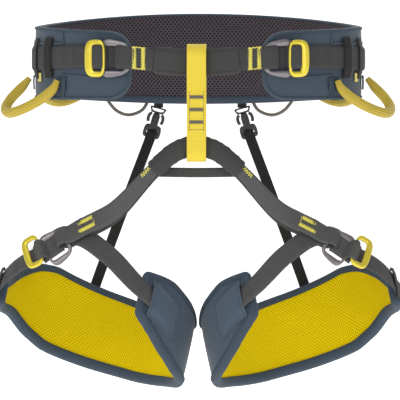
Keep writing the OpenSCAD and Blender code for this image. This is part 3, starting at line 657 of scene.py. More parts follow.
# The waist's webbing, also used on the cross strap, is the leg straps' webbing made darker: painted shade over the
# belt.
shade_darkened_webbing = webbing("shade_darkened_webbing", (0.044, 0.044, 0.044), rib=2.1)
leg_webbing = webbing("leg_strap_webbing", (0.076, 0.076, 0.075), rib=2.1)
fine_webbing = webbing("fine_grey_webbing", (0.082, 0.082, 0.082), rib=1.5, depth=0.1, shade_contrast=0.3)
fold_webbing = webbing("shaded_grey_webbing", (0.04, 0.039, 0.038), rib=1.5, depth=0.1, shade_contrast=0.3)
sleeve_cloth = webbing("grey_green_sleeve_cloth", (0.046, 0.046, 0.045), rib=1.2, depth=0.12, shade_contrast=0.3,
                       roughness=0.8)
yellow_webbing = webbing("yellow_webbing", (0.8, 0.61, 0.04), rib=1.4, depth=0.14, shade_contrast=0.2, roughness=0.5)
pale_tape = webbing("pale_yellow_tape", (0.78, 0.66, 0.2), rib=1.0, depth=0.08, shade_contrast=0.15)
black_elastic = webbing("black_elastic", (0.006, 0.0055, 0.005), rib=1.2, depth=0.1, shade_contrast=0.3, roughness=0.7)
yellow_thread = thread("yellow_thread", (0.85, 0.76, 0.12))
grey_thread = thread("grey_thread", (0.15, 0.13, 0.11))
blue_thread = thread("blue_thread", shade(BLUE, 0.55))
dark_thread = thread("dark_thread", (0.02, 0.02, 0.02))
yellow_metal = anodised("yellow_anodised", (0.8, 0.64, 0.05), (0.88, 0.78, 0.28))
grey_metal = anodised("grey_anodised", (0.22, 0.2, 0.215), (0.42, 0.4, 0.41))
black_plastic = plastic("black_plastic", (0.04, 0.039, 0.038), 0.42, 1500.0)
mustard_plastic = plastic("mustard_plastic", (0.5, 0.37, 0.035), 0.5, 900.0, strength=0.3)
cord_braid = braid("grey_brown_braid", (0.16, 0.135, 0.115))
print("finishes", len(bpy.data.materials))

# %% [markdown]
# ## Haul cords
# Two thin cords are sewn into the belt's lower edge at the back, and hang as short loops.
# A cord is a small circle carried along its line; its sheath gets the braid finish. They
# come first because the length and the way they hang decide how much room they take.


# %% Haul cords
def circle(width, height, count, ridges=0, depth=0.0):
    """Points round an oval; ridges adds small waves to its radius."""
    a = np.arange(count) * 2 * np.pi / count
    r = 1 + depth * np.cos(ridges * a)
    return np.stack([width / 2 * r * np.cos(a), height / 2 * r * np.sin(a)], -1)


PAD_HALF, CLOTH_T, TAPE_T = 5.0, 0.4, 0.4
CORD_T = 3.5
CORD_D = PAD_HALF + CLOTH_T + 0.3 + CORD_T / 2
HAUL = np.array([  # angle, height, and how much further out than CORD_D
    [-37, -34, 0], [-35, -44, 0], [-31, -56, 1], [-26, -61, 2], [-21, -56, 1], [-18.6, -44, 0], [-18, -34, 0]])
line = through(on_belt(HAUL[:, 0], HAUL[:, 1], CORD_D + HAUL[:, 2]), 12)
cord_rings = carry(line, np.tile([0.4, 0.9, 0.0], (len(line), 1)), circle(CORD_T, CORD_T, 16))
length = float(run_along(line)[-1]) * MM
haul_cords = pair("haul_cord_braid", [rod(cord_rings)], cord_braid, "root", "cord",
                  ["haul_cord_"])
for haul_cord, shown in zip(haul_cords, (line, flipped(line))):
    print(haul_cord.name, round(length * 1000), "mm long")

# %% [markdown]
# ## Padding
# The waist belt and the leg loops are foam between an outer cloth and a spacer mesh. Real
# foam is pressed thin where the binding and the webbing hold it, and swells in between. The
# pad starts as a flat, slightly thin closed form, Cloth with a little pressure blows it up,
# and a cap keeps it under the webbing and inside its place. After that the two faces are
# taken apart, as outer cloth with its foam and as lining, because they have two finishes.


# %% Blow up a closed grid with Cloth
def swell(points, faces, held, pressure):
    """Cloth with pressure and no gravity for 20 frames; returns where the points went."""
    mesh = bpy.data.meshes.new("swelling")
    mesh.from_pydata((points * MM).tolist(), [], faces)
    body = bpy.data.objects.new("swelling", mesh)
    scene.collection.objects.link(body)
    group = body.vertex_groups.new(name="held")
    group.add(np.flatnonzero(held).tolist(), 1.0, "REPLACE")
    modifier = body.modifiers.new("Cloth", "CLOTH")
    rules = modifier.settings
    rules.quality, rules.mass = 5, 0.3
    rules.tension_stiffness = rules.compression_stiffness = 12.0
    rules.shear_stiffness, rules.bending_stiffness = 4.0, 0.4
    rules.use_pressure, rules.uniform_pressure_force = True, pressure
    rules.effector_weights.gravity = 0.0
    rules.vertex_group_mass = "held"
    modifier.collision_settings.use_collision = False
    modifier.point_cache.frame_start, modifier.point_cache.frame_end = 1, 20
    for number in range(1, 21):
        scene.frame_set(number)
    done = body.evaluated_get(bpy.context.evaluated_depsgraph_get()).to_mesh()
    moved = np.empty(len(points) * 3, np.float32)
    done.vertices.foreach_get("co", moved)
    scene.frame_set(1)
    bpy.data.objects.remove(body)
    bpy.data.meshes.remove(mesh)
    return moved.reshape(-1, 3).astype(float) / MM


def skin(face, inner):
    """A closed form between a face and a face behind it, joined round their rims."""
    m, n = face.shape[:2]
    _, faces, uv = grid(face)
    rim = np.concatenate([np.arange(n), np.arange(2 * n - 1, m * n, n), np.arange(m * n - 2, (m - 1) * n - 1, -1),
                          np.arange((m - 2) * n, 0, -n)])
    following = np.roll(rim, -1)
    back = [[x + m * n for x in f[::-1]] for f in faces]
    wall = np.stack([following, rim, rim + m * n, following + m * n], -1).tolist()
    back_uv = uv.reshape(-1, 4, 2)[:, ::-1].reshape(-1, 2)
    corners = np.concatenate([uv, back_uv, np.zeros((len(wall) * 4, 2))])
    return np.stack([face, inner]).reshape(-1, 3), faces + back + wall, corners


def pad_faces(place, normal, ts, vs, half, thin, crown, cap, pressure=4.0):
    """The outer and inner faces of a pad: half thickness `thin` at its edge and `crown`
    in its middle, blown up by no more than cap(t, v) each way."""
    t, v = np.meshgrid(ts, vs, indexing="ij")
    ends = np.minimum(1, np.minimum(t - ts[0], ts[-1] - t) / (0.06 * (ts[-1] - ts[0])))
    thick = thin + (crown - thin) * (1 - np.abs(v) ** 4) * np.sqrt(1 - (1 - ends) ** 2)
    out, back = place(t, v * half(t), thick), place(t, v * half(t), -thick)
    m, n = t.shape
    both, faces, _ = skin(out, back)
    if enclosed(both - both.mean(0), faces) < 0:
        faces = [f[::-1] for f in faces]
    held = np.zeros((m, n), bool)
    held[[0, -1]], held[:, [0, -1]] = True, True
    new = swell(both, faces, np.tile(held.ravel(), 2), pressure).reshape(2, m, n, 3)
    ways = normal(t)
    swelled = []
    for start, end, way in ((out, new[0], ways), (back, new[1], -ways)):
        rise = np.einsum("ijk,ijk->ij", end - start, way)
        slide = (end - start) - rise[..., None] * way
        far = np.linalg.norm(slide, axis=-1, keepdims=True)
        swelled.append(start + way * np.clip(rise, 0, cap(t, v))[..., None] + slide * np.minimum(1, 1.2 / (far + 1e-9)))
        print("   swelled by up to", round(float(rise.max()), 2), "mm, kept to", round(float(cap(t, v).max()), 2))
    return swelled


def between(one, other, share):
    """A face part of the way through the pad, just inside both rims."""
    return one + (other - one) * share


# %% The belt's padding
WEB_W = 24.0


def belt_cap(t, v):
    """Less room to swell under the webbing and at the edges than between them."""
    above = np.abs(v * belt_half(t) + BELT_MID_Z - web_mid(t)) - WEB_W / 2
    free = np.clip(above / 8, 0, 1)
    return 0.65 + 1.0 * free * free * (3 - 2 * free)


def eased(start, stop, count, bend):
    """Even steps, with smaller ones for the last `bend` at each end."""
    tips = bend * (1 - np.cos(np.linspace(0, np.pi / 2, 7)))
    return np.concatenate([start + tips, np.linspace(start + bend, stop - bend, count)[1:-1], (stop - tips)[::-1]])


PAD_INSET, PAD_FILL, SHELL_SHARE, LINING_SHARE = 2.6, 0.7, 0.7, 0.74
belt_ts = eased(-BELT_END + 1.0, BELT_END - 1.0, 130, 9.0)
belt_faces = pad_faces(
    lambda t, z, d: on_belt(t, z + BELT_MID_Z, d), belt_normal, belt_ts,
    np.linspace(-1, 1, 19), lambda t: belt_half(t) - PAD_INSET * 0.5, 3.9, 4.3, belt_cap)
shell_skin = skin(belt_faces[0], between(*belt_faces, SHELL_SHARE))
lining_skin = skin(belt_faces[1], between(*belt_faces, LINING_SHARE))
belt_shell = piece("belt_shell", [shell_skin], shade_darkened_belt_cloth, "root", "blue_shell_fabric",
                   ["belt_outer_shell", "belt_foam_core"], levels=1)
belt_lining = piece("belt_lining", [lining_skin], dark_mesh, "root", "dark_spacer_mesh", ["belt_mesh_lining"], levels=1)

# %% The leg loops' padding
leg_ts = eased(LEG_OUTER_END + 1.5, LEG_INNER_END - 1.5, 86, 9.0)


def leg_face_normal(t):
    """Outwards from the leg loop's padding, in the harness's own frame."""
    return leg_way(hoop_normal(LEG, t))


leg_faces = pad_faces(
    leg_point, leg_face_normal, leg_ts, np.linspace(-1, 1, 17), lambda t: leg_half(t) - PAD_INSET * 0.8, 3.0, 4.2,
    lambda t, v: 0.75 + 1.1 * np.clip((t + 70) / 30, 0, 1) * np.clip((148 - t) / 20, 0, 1))
shell_skin = skin(leg_faces[0], between(*leg_faces, SHELL_SHARE))
lining_skin = skin(leg_faces[1], between(*leg_faces, LINING_SHARE))
leg_shells = pair("leg_shell_cloth", [shell_skin], blue_cloth, "leg_loops", "blue_shell_fabric",
                  ["leg_shell_", "leg_foam_"], levels=1)
leg_meshes = pair("leg_mesh", [lining_skin], yellow_mesh, "leg_loops", "yellow_spacer_mesh", ["leg_lining_"], levels=1)

# %% [markdown]
# ## Binding
# The raw edges of a pad are closed with a tape folded over them and stitched through. Its
# section is a hairpin: down one face, round the edge, up the other. The outline is worked
# out flat, as if the belt were unrolled, so that the tape keeps its width on the slopes.


# %% Edge tape round an outline
def outline(ts, low, high, hoop, step):
    """The pad's edge, unrolled: along the hoop in x and across in y, with soft corners."""
    s_table = np.linspace(-180, 180, 1441)
    s = np.concatenate([[0], np.cumsum(hoop_speed(hoop, (s_table[1:] + s_table[:-1]) / 2) * 0.25)])
    x = np.interp(ts, s_table, s)
    edge = np.concatenate([np.stack([x, low(ts)], -1), np.stack([x, high(ts)], -1)[::-1]])
    (edge,) = resample(edge, step, closed=True)
    for _ in range(3):
        edge = (np.roll(edge, 1, 0) + 2 * edge + np.roll(edge, -1, 0)) / 4
    ahead = unit(np.roll(edge, -1, 0) - np.roll(edge, 1, 0))
    inward = np.stack([-ahead[:, 1], ahead[:, 0]], -1)
    return edge, inward, lambda x: np.interp(x, s, s_table)


def edge_tape(name, ts, low, high, hoop, place, normal, body, replaced, mirror, face, widths):
    """A hairpin of tape, and a row of stitches on both of its faces. widths are how far it
    reaches in: on the outer face below and above, and on the inner face below and above."""
    edge, inward, angle = outline(ts, low, high, hoop, 3.0)
    above = np.clip(0.5 - inward[:, 1] * 2.2, 0, 1)
    above = above * above * (3 - 2 * above)
    outer = widths[0] + (widths[1] - widths[0]) * above
    inner = widths[2] + (widths[3] - widths[2]) * above
    share = np.array([1, 0.95, 0.82, 0.55, 0.3, 0.1, 0.0125])
    drop = np.array([0.75, 0.15, 0.06, 0.0, 0.5, 1.8, 3.4])
    outer_w, inner_w = outer[:, None], inner[:, None]
    reach = np.concatenate([outer_w * share, inner_w * share[::-1], inner_w * 0.8, outer_w * 0.8], 1)
    lift = np.concatenate([face - drop, (drop - face)[::-1], [2.2 - face, face - 2.2]])
    flat = edge[:, None] + inward[:, None] * reach[..., None]
    points = place(angle(flat[..., 0]), flat[..., 1], np.broadcast_to(lift, reach.shape))
    piece(name, [closed_ring(points)], blue_tape, body, "blue_binding", [replaced], mirror)
    rows = []
    for sign, wide in ((1, outer), (-1, inner)):
        line = edge + inward * (wide * 0.76)[:, None]
        t = angle(line[:, 0])
        row = place(t, line[:, 1], np.full(len(t), sign * (face + 0.1)))
        sewn = np.flatnonzero(wide > 4.5)
        if len(sewn) == len(t):
            rows.append(stitches(row, sign * normal(t), pitch=3.4, long=2.3, thick=0.66, closed=True))
        elif len(sewn):
            first = sewn[np.argmax(np.diff(np.concatenate([[sewn[-1] - len(t)], sewn])) > 1)]
            some = (first + np.arange(len(sewn))) % len(t)
            rows.append(stitches(row[some], sign * normal(t[some]), pitch=3.4, long=2.3, thick=0.66))
    if rows:
        piece(name + "_stitches", rows, blue_thread, body, "blue_binding", (), mirror)


edge_tape("belt_edge_tape", eased(-BELT_END, BELT_END, 160, 10.0), lambda t: BELT_MID_Z - belt_half(t),
          lambda t: BELT_MID_Z + belt_half(t), WAIST, on_belt,
          belt_normal, "root", "belt_edge_binding", False, 5.15, (3.2, 3.2, 8.0, 2.0))
for side, mirror in SIDES:
    edge_tape(f"leg_edge_tape_{side}", np.linspace(LEG_OUTER_END, LEG_INNER_END, 120),
              lambda t: -leg_sag(t) - leg_half(t), lambda t: -leg_sag(t) + leg_half(t), LEG,
              lambda t, z, d: leg_point(t, z + leg_sag(t), d), leg_face_normal,
              "leg_loops", f"leg_binding_{side}", mirror, 5.3, (6.5, 6.5, 8.0, 8.0))

# %% [markdown]
# ## Seams on the belt's outer cloth
# The outer cloth is cut in panels. A panel's edge is folded under and top-stitched, which
# leaves a low welt with a row of stitches beside it.


# %% Welts and top-stitching
def welt(ts, zs, d=5.35):
    """A low round fold along (t, z) points, with stitches 2 mm beside it."""
    pairs = through(np.stack([ts, zs], -1), 14)
    line = on_belt(pairs[:, 0], pairs[:, 1], d)
    normals = belt_normal(pairs[:, 0])
    beside = unit(np.cross(normals, np.gradient(line, axis=0)))
    fold = rod(carry(line, normals, circle(1.7, 0.9, 10)))
    return fold, stitches(line + beside * 2.0 + normals * 0.25, normals, pitch=3.0, long=2.1, thick=0.55)


SEAMS = [  # angles and heights
    ([-125.5, -125.3, -125.2], [-36.5, -24, -11.5]), ([-125.3, -125.0, -124.6], [19.5, 27, 33.5]),
    ([-125.3, -132, -143], [-12.6, -13.2, -14.4]), ([-86, -105, -125], [19.0, 19.4, 20.2]),
]
folds, top_stitches = zip(*(welt(*seam) for seam in SEAMS))
pair("belt_welts", folds, shade_darkened_belt_cloth, "root", "blue_shell_fabric")
pair("belt_top_stitching", top_stitches, blue_thread, "root", "blue_shell_fabric")

# %% [markdown]
# ## Webbing
# Load-bearing webbing is a flat band with a rib across it every two millimetres. The ribs
# catch the light along the edges, so they are real shape and not only bump: the band's
# thickness follows a wave along its length. Each strap is one smooth line with a normal at
# every point, which is enough to carry the band's section along it.


# %% A ribbed strap along a line
def strap_section(width, thick, count=9):
    """A flat band with rounded selvedges."""
    x = np.linspace(-1, 1, count)
    y = (1 - np.abs(x) ** 8) ** 0.5 * 0.85 + 0.15
    top = np.stack([x * width / 2, y * thick / 2], -1)
    return np.concatenate([top, top[::-1] * [1, -1]])


def strap(line, normals, width, thick=2.0, rib=2.1, deep=0.3, samples=5):
    """The band's section carried along the line, thicker on each rib."""
    widths = np.broadcast_to(width, (len(line),)).astype(float)
    line, normals, widths = resample(line, rib / samples, normals, widths)
    s = run_along(line)
    ribs = 1 + deep * np.cos(2 * np.pi * s / rib)
    edge = 1 + 0.012 * np.cos(2 * np.pi * s / rib)
    section = strap_section(1.0, 1.0)
    rings = carry(line, unit(normals), section, np.stack([widths * edge, thick * ribs], -1))
    return rod(rings)


def waist_line(path, step=10):
    """A line over the belt through (t, d) pairs, on the webbing's own height."""
    p = through(path, step)
    return on_belt(p[:, 0], web_mid(p[:, 0]), p[:, 1]), belt_normal(p[:, 0])


def wrap(path, across, step=10):
    """A line through points, and normals square to it and to one direction across the band."""
    line = through(path, step)
    return line, unit(np.cross(across, np.gradient(line, axis=0)))


def leg_axes(t):
    """The band's middle on its padding at t, and its ways along, across and outwards."""
    middle = leg_point(t, 0.0, 0.0)
    along = unit(leg_point(t + 0.5, 0.0, 0.0) - leg_point(t - 0.5, 0.0, 0.0))
    across = leg_point(t, 1.0, 0.0) - leg_point(t, -1.0, 0.0)
    across = unit(across - along * (across @ along))
    outwards = np.cross(along, across)
    return middle, along, across, outwards * np.sign(outwards @ leg_face_normal(t))


def leg_wrap(t, path):
    """A roll of webbing in the band's own axes at t, through (along, outwards) pairs."""
    middle, along, across, outwards = leg_axes(t)
    path = np.array(path, float)
    return wrap(middle + path[:, :1] * along + path[:, 1:] * outwards, across)


# %% Waist webbing, its rolls round the slider bars, and the tie-in webbing
spans = np.linspace(-150.4, 150.4, 180)
flat = (on_belt(spans, web_mid(spans), np.full(180, 6.8)), belt_normal(spans))
ROLL = np.array([(-139.6, 9.4), (-141.0, 10.6), (-142.0, 13.6), (-143.0, 16.6), (-144.6, 17.8), (-146.0, 16.8),
                 (-146.8, 13.2), (-147.2, 9.4)])
roll = wrap(on_belt(ROLL[:, 0], web_mid(ROLL[:, 0]), ROLL[:, 1]), (0, 0, 1.0))
rolled = strap(*roll, WEB_W, 1.8)
parts = [strap(*flat, WEB_W), rolled, (flipped(rolled[0]), [f[::-1] for f in rolled[1]], rolled[2])]
piece("waist_straps", parts, shade_darkened_webbing, "root", "dark_webbing", ["waist_webbing"])

TIE_IN = [(-150.9, 7.6), (-151.1, 10.2), (-151.9, 12.3), (-153.6, 12.9), (-155.6, 12.4), (-157.3, 10.4), (-159.5, 8.0),
          (-162.5, 6.9), (-166, 6.8), (-180, 6.8), (-194, 6.8), (-197.5, 6.9), (-200.5, 8.0), (-202.7, 10.4),
          (-204.4, 12.4), (-206.4, 12.9), (-208.1, 12.3), (-208.9, 10.2), (-209.1, 7.6)]
piece("tie_in_strap", [strap(*waist_line(TIE_IN), WEB_W)], shade_darkened_webbing, "root", "dark_webbing", ["tie_in_webbing"])
tie_in = through(TIE_IN, 10)


def tie_in_d(t):
    """How far out the tie-in webbing's middle lies at t."""
    return np.interp(-np.asarray(t, float), -tie_in[:, 0], tie_in[:, 1])


# %% Bar tacks beside the sleeve: two zigzag columns joined at their ends
def waist_spot(t, z):
    """A point on top of the tie-in webbing, z above its middle."""
    return on_belt(t, web_mid(t) + z, tie_in_d(t) + 1.35)


def tack_box(centre, ahead, up, normal, long, tall, bar, turns, thick):
    """Two bars of zigzag thread `long` apart, and two thin ones joining them."""
    parts = []
    for s in (-1, 1):
        corner = centre + ahead * (s * long / 2 - (bar if s > 0 else 0)) - up * tall / 2
        parts.append(zigzag(corner, up * tall, ahead, bar, turns, normal, thick))
        corner = centre + up * (s * tall / 2) - ahead * long / 2
        parts.append(zigzag(corner, ahead * long, up, 0.9, max(4, turns // 3), normal, thick))
    return parts


TACK_AT, UPWARDS = -159.6, np.array([0.0, 0.0, 1.0])
slope = unit(waist_spot(TACK_AT + 1, 0) - waist_spot(TACK_AT - 1, 0))
lifted = unit(np.cross(slope, UPWARDS))
lifted = lifted * np.sign(lifted @ belt_normal(TACK_AT))
tacks = tack_box(waist_spot(TACK_AT, 0), slope, UPWARDS, lifted, 14.0, 22.0, 4.6, 13, 1.0)
pair("waist_tack", tacks, yellow_thread, "root", "yellow_thread", ["waist_bartacks"])

# %% [markdown]
# ## The tie-in sleeve
# The webbing between the buckles wears against rope and belay loop, so it runs in a woven
# sleeve with a stitched edge along its top and bottom. A flat tube with round edges is a
# superellipse carried round the front of the waist.


# %% Tie-in sleeve
def superellipse(width, height, power, count):
    """|x| to the power plus |y| to the power is 1: a rounded box as the power grows."""
    a = np.arange(count) * 2 * np.pi / count
    c, s = np.cos(a), np.sin(a)
    x, y = np.sign(c) * np.abs(c) ** (2 / power), np.sign(s) * np.abs(s) ** (2 / power)
    return np.stack([width / 2 * x, height / 2 * y], -1)


SLEEVE_DEG = 14.8
ts = np.linspace(180 - SLEEVE_DEG, 180 + SLEEVE_DEG, 150)
line = on_belt(ts, web_mid(ts), np.full(len(ts), 6.8))
puff = 1 + 0.05 * np.sin(np.linspace(0, np.pi * 7, len(ts))) ** 2
ends = 1 - 0.16 * np.exp(-((SLEEVE_DEG - np.abs(ts - 180)) / 0.8) ** 2)
rings = carry(line, belt_normal(ts), superellipse(28.6, 6.4, 3.2, 40), np.stack([ends, puff * ends], -1))
piece("tie_in_cover", [rod(rings)], sleeve_cloth, "root", "sleeve_fabric",
      ["tie_in_sleeve"])
rows = []
for z in (-10.6, 10.6):
    spot = on_belt(ts[6:-6], web_mid(ts[6:-6]) + z, np.full(len(ts) - 12, 6.8 + 3.05))
    rows.append(stitches(spot, belt_normal(ts[6:-6]), pitch=3.4, long=2.3, thick=1.0))
piece("tie_in_cover_stitches", rows, dark_thread, "root", "sleeve_fabric")

# %% [markdown]
# ## The belay loop
# Several layers of bright webbing are wound into one band and sewn through with bar tacks.
# The line is a tall racetrack round the tie-in sleeve above and the bridge below.
TIE_Y = -109.8
BELAY_TOP, BELAY_LOW, BELAY_R, BELAY_T, BELAY_W = 9.8, -89.0, 8.2, 3.5, 20.0


# %% Belay loop
def racetrack(radius, top, low, steps):
    """Half a circle over the top, straight down, half a circle below, and back up."""
    a = np.linspace(0, np.pi, steps)
    over = np.stack([np.cos(a) * radius, top + np.sin(a) * radius], -1)
    under = np.stack([-np.cos(a) * radius, low - np.sin(a) * radius], -1)
    return np.concatenate([over, under])


def layered_section(width, thick):
    """Two bands one on the other: a small notch where their selvedges meet."""
    side = np.array([[0.5, 0.06], [0.487, 0.0], [0.5, -0.06], [0.5, -0.36], [0.485, -0.48]])
    flat = np.stack([np.linspace(0.44, -0.44, 9), np.full(9, -0.5)], -1)
    half = np.concatenate([side, flat, [[-0.485, -0.48], [-0.5, -0.36]]])
    whole = np.concatenate([half, -half])
    return whole * [width, thick]


track = racetrack(BELAY_R + BELAY_T / 2, BELAY_TOP, BELAY_LOW, 24)
centre = np.stack([np.zeros(len(track)), TIE_Y + track[:, 0], track[:, 1]], -1)
(centre,) = resample(centre, 1.4 / 4, closed=True)
hub = np.stack([np.zeros(len(centre)), np.full(len(centre), TIE_Y), np.clip(centre[:, 2], BELAY_LOW, BELAY_TOP)], -1)
s = run_along(centre)
ribs = 1 + 0.05 * np.cos(2 * np.pi * s / s[-1] * np.round(s[-1] / 1.4))
ahead = unit(np.roll(centre, -1, 0) - np.roll(centre, 1, 0))
out = unit(centre - hub)
across = np.cross(out, ahead)
band = layered_section(BELAY_W, BELAY_T)
rings = centre[:, None] + across[:, None] * band[:, :1] + out[:, None] * band[:, 1:] * ribs[:, None, None]
piece("belay_band", [closed_ring(rings)], yellow_webbing, "leg_loops", "yellow_webbing", ["belay_loop"])

front_y = TIE_Y - BELAY_R - BELAY_T - 0.3
x_way, z_way, out_way = np.array([1.0, 0, 0]), np.array([0, 0, 1.0]), np.array([0, -1.0, 0])
parts = []
for sign, y in ((1, front_y), (-1, 2 * TIE_Y - front_y)):
    facing_out = out_way * sign
    for z in (-33.0, -46.0, -59.0):
        parts.append(zigzag(np.array([-6.8, y, z - 1.9]), x_way * 13.6, z_way, 3.8, 13, facing_out, 0.7))
    for x in (-7.4, 7.4):
        line = np.array([[x, y, -28.0], [x, y, -67.0]])
        parts.append(stitches(line, np.tile(facing_out, (2, 1)), pitch=2.9, long=2.0, thick=0.6))
    line = np.array([[-7.4, y, -67.0], [7.4, y, -67.0]])
    parts.append(stitches(line, np.tile(facing_out, (2, 1)), pitch=2.6, long=1.8, thick=0.55))
piece("belay_tacks", parts, grey_thread, "leg_loops", "grey_thread", ["belay_loop_stitching"])

# %% [markdown]
# ## The bridge and the front straps
# One strap runs from buckle to buckle: over the left thigh, up through a tube of woven
# cloth that saves it from wear, and down over the right thigh. The tube is an oval carried
# along the arch, with a slow wave for the creases on its bends.
BRIDGE_TOP = BELAY_LOW + 5.2
ARCH = [(-48, -28), (-36, -17.3), (-20, -5.5), (0, 0), (20, -5.5), (36, -17.3), (48, -28)]
bridge = through([(x, TIE_Y, BRIDGE_TOP + z) for x, z in ARCH], 24)

# %% Bridge sleeve, drawn in at its ends
line, = resample(bridge, 0.5)
line = line[8:-8]
s = run_along(line)
creases = 1 + 0.035 * np.sin(s * 2 * np.pi / 8.5) * np.sin(s * 0.21) + 0.02 * np.cos(s * 2 * np.pi / 2.0)
lips = 1 - 0.1 * np.exp(-(np.minimum(s, s[-1] - s) / 1.2) ** 2)
face_out = np.tile([0.0, -1.0, 0.0], (len(line), 1))
fuller = 1 + 0.16 * np.sin(s / s[-1] * np.pi)
tube = carry(line, face_out, circle(18.5, 14.0, 40), np.stack([creases * lips * fuller, creases * lips], -1))
piece("bridge_tube", [rod(tube)], sleeve_cloth, "leg_loops", "sleeve_fabric",
      ["bridge_sleeve"])

# %% The strap through it, and the cross strap behind
FRONT_STRAP = [(-149.4, 0.5, 9.6), (-149.9, 0.5, 12.6), (-151.4, 0.4, 14.3), (-154.6, 0, 14.1), (-157.6, -0.5, 12.6),
               (-161.5, 4.5, 11.8), (-166, 12, 12.4)]
leg_part = through(FRONT_STRAP, 10)
start = leg_point(leg_part[:, 0], leg_part[:, 1], leg_part[:, 2])
knots = np.concatenate([
    start[::5], [[-84, -104, -150.5]], bridge[::24], [[84, -104, -150.5]], flipped(start[::5])[::-1]])
normals = np.concatenate([
    leg_face_normal(leg_part[::5, 0]), [[-0.1, -0.95, 0.2]], np.tile([0, -1.0, 0], (7, 1)), [[0.1, -0.95, 0.2]],
    flipped(leg_face_normal(leg_part[::5, 0]))[::-1]])
line, normals = through(knots, 12), unit(through(normals, 12))
front_line, front_normals = line, normals
from_tube = np.clip((np.abs(line[:, 0]) - 46) / 58, 0, 1)
piece("front_strap", [strap(line, normals, 13.5 + 8.0 * from_tube, 2.2, rib=2.0, deep=0.2)], fine_webbing,
      "leg_loops", "dark_webbing", ["bridge_webbing"])
z = BRIDGE_TOP - 28
cross = np.array([[-43, -100.8, z], [0, -101.2, z - 0.6], [43, -100.8, z]])
fold = strap(line + [0, 2.6, -7.5], unit(normals + [0, 0, -0.7]), 9.0 + 5.0 * from_tube, 1.6, rib=1.7, deep=0.1)
piece("front_strap_fold", [fold], fold_webbing, "leg_loops", "dark_webbing")
parts = []
for s in (-1, 1):
    k = int(np.argmin(np.abs(line[:, 0] - s * 49.5)))
    ahead = unit(line[k + 1] - line[k - 1])
    over = unit(np.cross(normals[k], ahead))
    over = over * np.sign(over[2])
    corner = line[k] - ahead * 6 + over * 2.2 + normals[k] * 1.6
    parts.append(zigzag(corner, ahead * 12, over, 3.6, 4, normals[k], 1.0))
piece("bridge_end_tacks", parts, yellow_thread, "leg_loops", "yellow_thread", ["bridge_end_tapes"])
piece("cross_strap_band", [strap(through(cross, 20), np.tile([0.0, -1, 0], (41, 1)), 10, 2.0, rib=1.3, deep=0.1)],
      shade_darkened_webbing, "leg_loops", "dark_webbing", ["cross_strap"])

# %% Leg straps: the inner one to the buckle's frame, and the adjuster with its roll
LEG_WEB_W = 22.0
LEG_WEB_D = 6.8
SLIDER_ROLL = [(-2.5, 10.6), (-5.5, 12.0), (-7.0, 15.0), (-8.4, 18.0), (-11.2, 19.2), (-14.0, 18.0), (-15.4, 14.6),
               (-16.2, 9.6)]
FRAME_ROLL = [(-9.5, 9.0), (-8, 10.2), (-3, 10.6), (3, 10.6), (9, 10.4), (15, 9.4)]
rolls = [strap(*leg_wrap(-137.0, SLIDER_ROLL), LEG_WEB_W, 1.8), strap(*leg_wrap(-147.0, FRAME_ROLL), LEG_WEB_W, 1.8)]
for name, node, ts, sunk, more in (("inner_strap", "leg_inner_strap_", np.linspace(208, 138, 90), 1.6, []),
                                   ("adjuster", "leg_adjuster_webbing_", np.linspace(-147, -84, 90), 0.0, rolls)):
    line = leg_point(ts, 0.0, LEG_WEB_D - sunk * np.clip((150 - ts) / 12, 0, 1))
    band = strap(line, leg_face_normal(ts), LEG_WEB_W)
    pair(f"leg_{name}_band", [band, *more], leg_webbing, "leg_loops", "dark_webbing", [node])

# %% Bar tacks on the front straps
k = int(np.argmin(np.abs(front_line[:, 0] + 117.0)))
here, way = front_line[k], unit(front_line[k + 1] - front_line[k - 1])
over = unit(np.cross(front_normals[k], way))
normal = unit(np.cross(way, over))
tacks = []
for s in (-1, 1):
    corner = here + over * (s * 4.6 - 2.2) - way * 12 + normal * 1.7
    tacks.append(zigzag(corner, way * 24, over, 4.4, 15, normal, 1.25))
    corner = here + way * (s * 11.6 - 0.7) - over * 4.6 + normal * 1.7
    tacks.append(zigzag(corner, over * 9.2, way, 1.4, 5, normal, 0.9))
pair("front_tack", tacks, yellow_thread, "leg_loops", "yellow_thread", ["leg_bartacks"])

# %% [markdown]
# ## Pockets for the straps' ends
# The inner strap's end is sewn between the leg loop's foam and a flap of the outer cloth.
# The flap is a sheet over the strap: high in the middle, where the webbing lifts it, and
# down on the pad all round but for its open edge.


# %% Pockets with their stitches
def pocket_rise(t, w):
    """Height over the pad: a plateau as wide as the strap, lower away from the mouth."""
    over = 1 / (1 + (np.abs(w) / 13.4) ** 10)
    return 5.0 + over * (0.4 + 3.7 * np.clip((t - 128) / 14, 0, 1) ** 0.8)


t, w = np.meshgrid(np.linspace(149.5, 126, 40), np.linspace(-1, 1, 41), indexing="ij")
reach = np.minimum(leg_half(t) - 5.5, 19.0)
flap = [leg_point(t, w * reach, pocket_rise(t, w * reach) + lift) for lift in (0.9, -0.1)]
mouth = leg_point(t[0], w[0] * reach[0], pocket_rise(t[0], w[0] * reach[0]) + 0.45)
hem_normals = leg_face_normal(t[0])
hem = carry(mouth, hem_normals, circle(1.9, 1.9, 10))
pair("strap_pocket", [skin(*flap), rod(hem)], blue_cloth, "leg_loops",
     "blue_shell_fabric")
rows = [(flap[0][at, 2:-2], hem_normals[2:-2]) for at in (2, 36)]
rows += [(flap[0][:, at], leg_face_normal(t[:, at])) for at in (1, -2)]
pair("strap_pocket_stitches", [stitches(*row, pitch=3.2, long=2.2, thick=0.6) for row in rows], blue_thread,
     "leg_loops", "blue_shell_fabric")

# %% [markdown]
# ## Elastic keepers
# Black elastic bands hold the webbing's loose tails flat. Each is sewn down above and
# below, and bridges over the webbing.


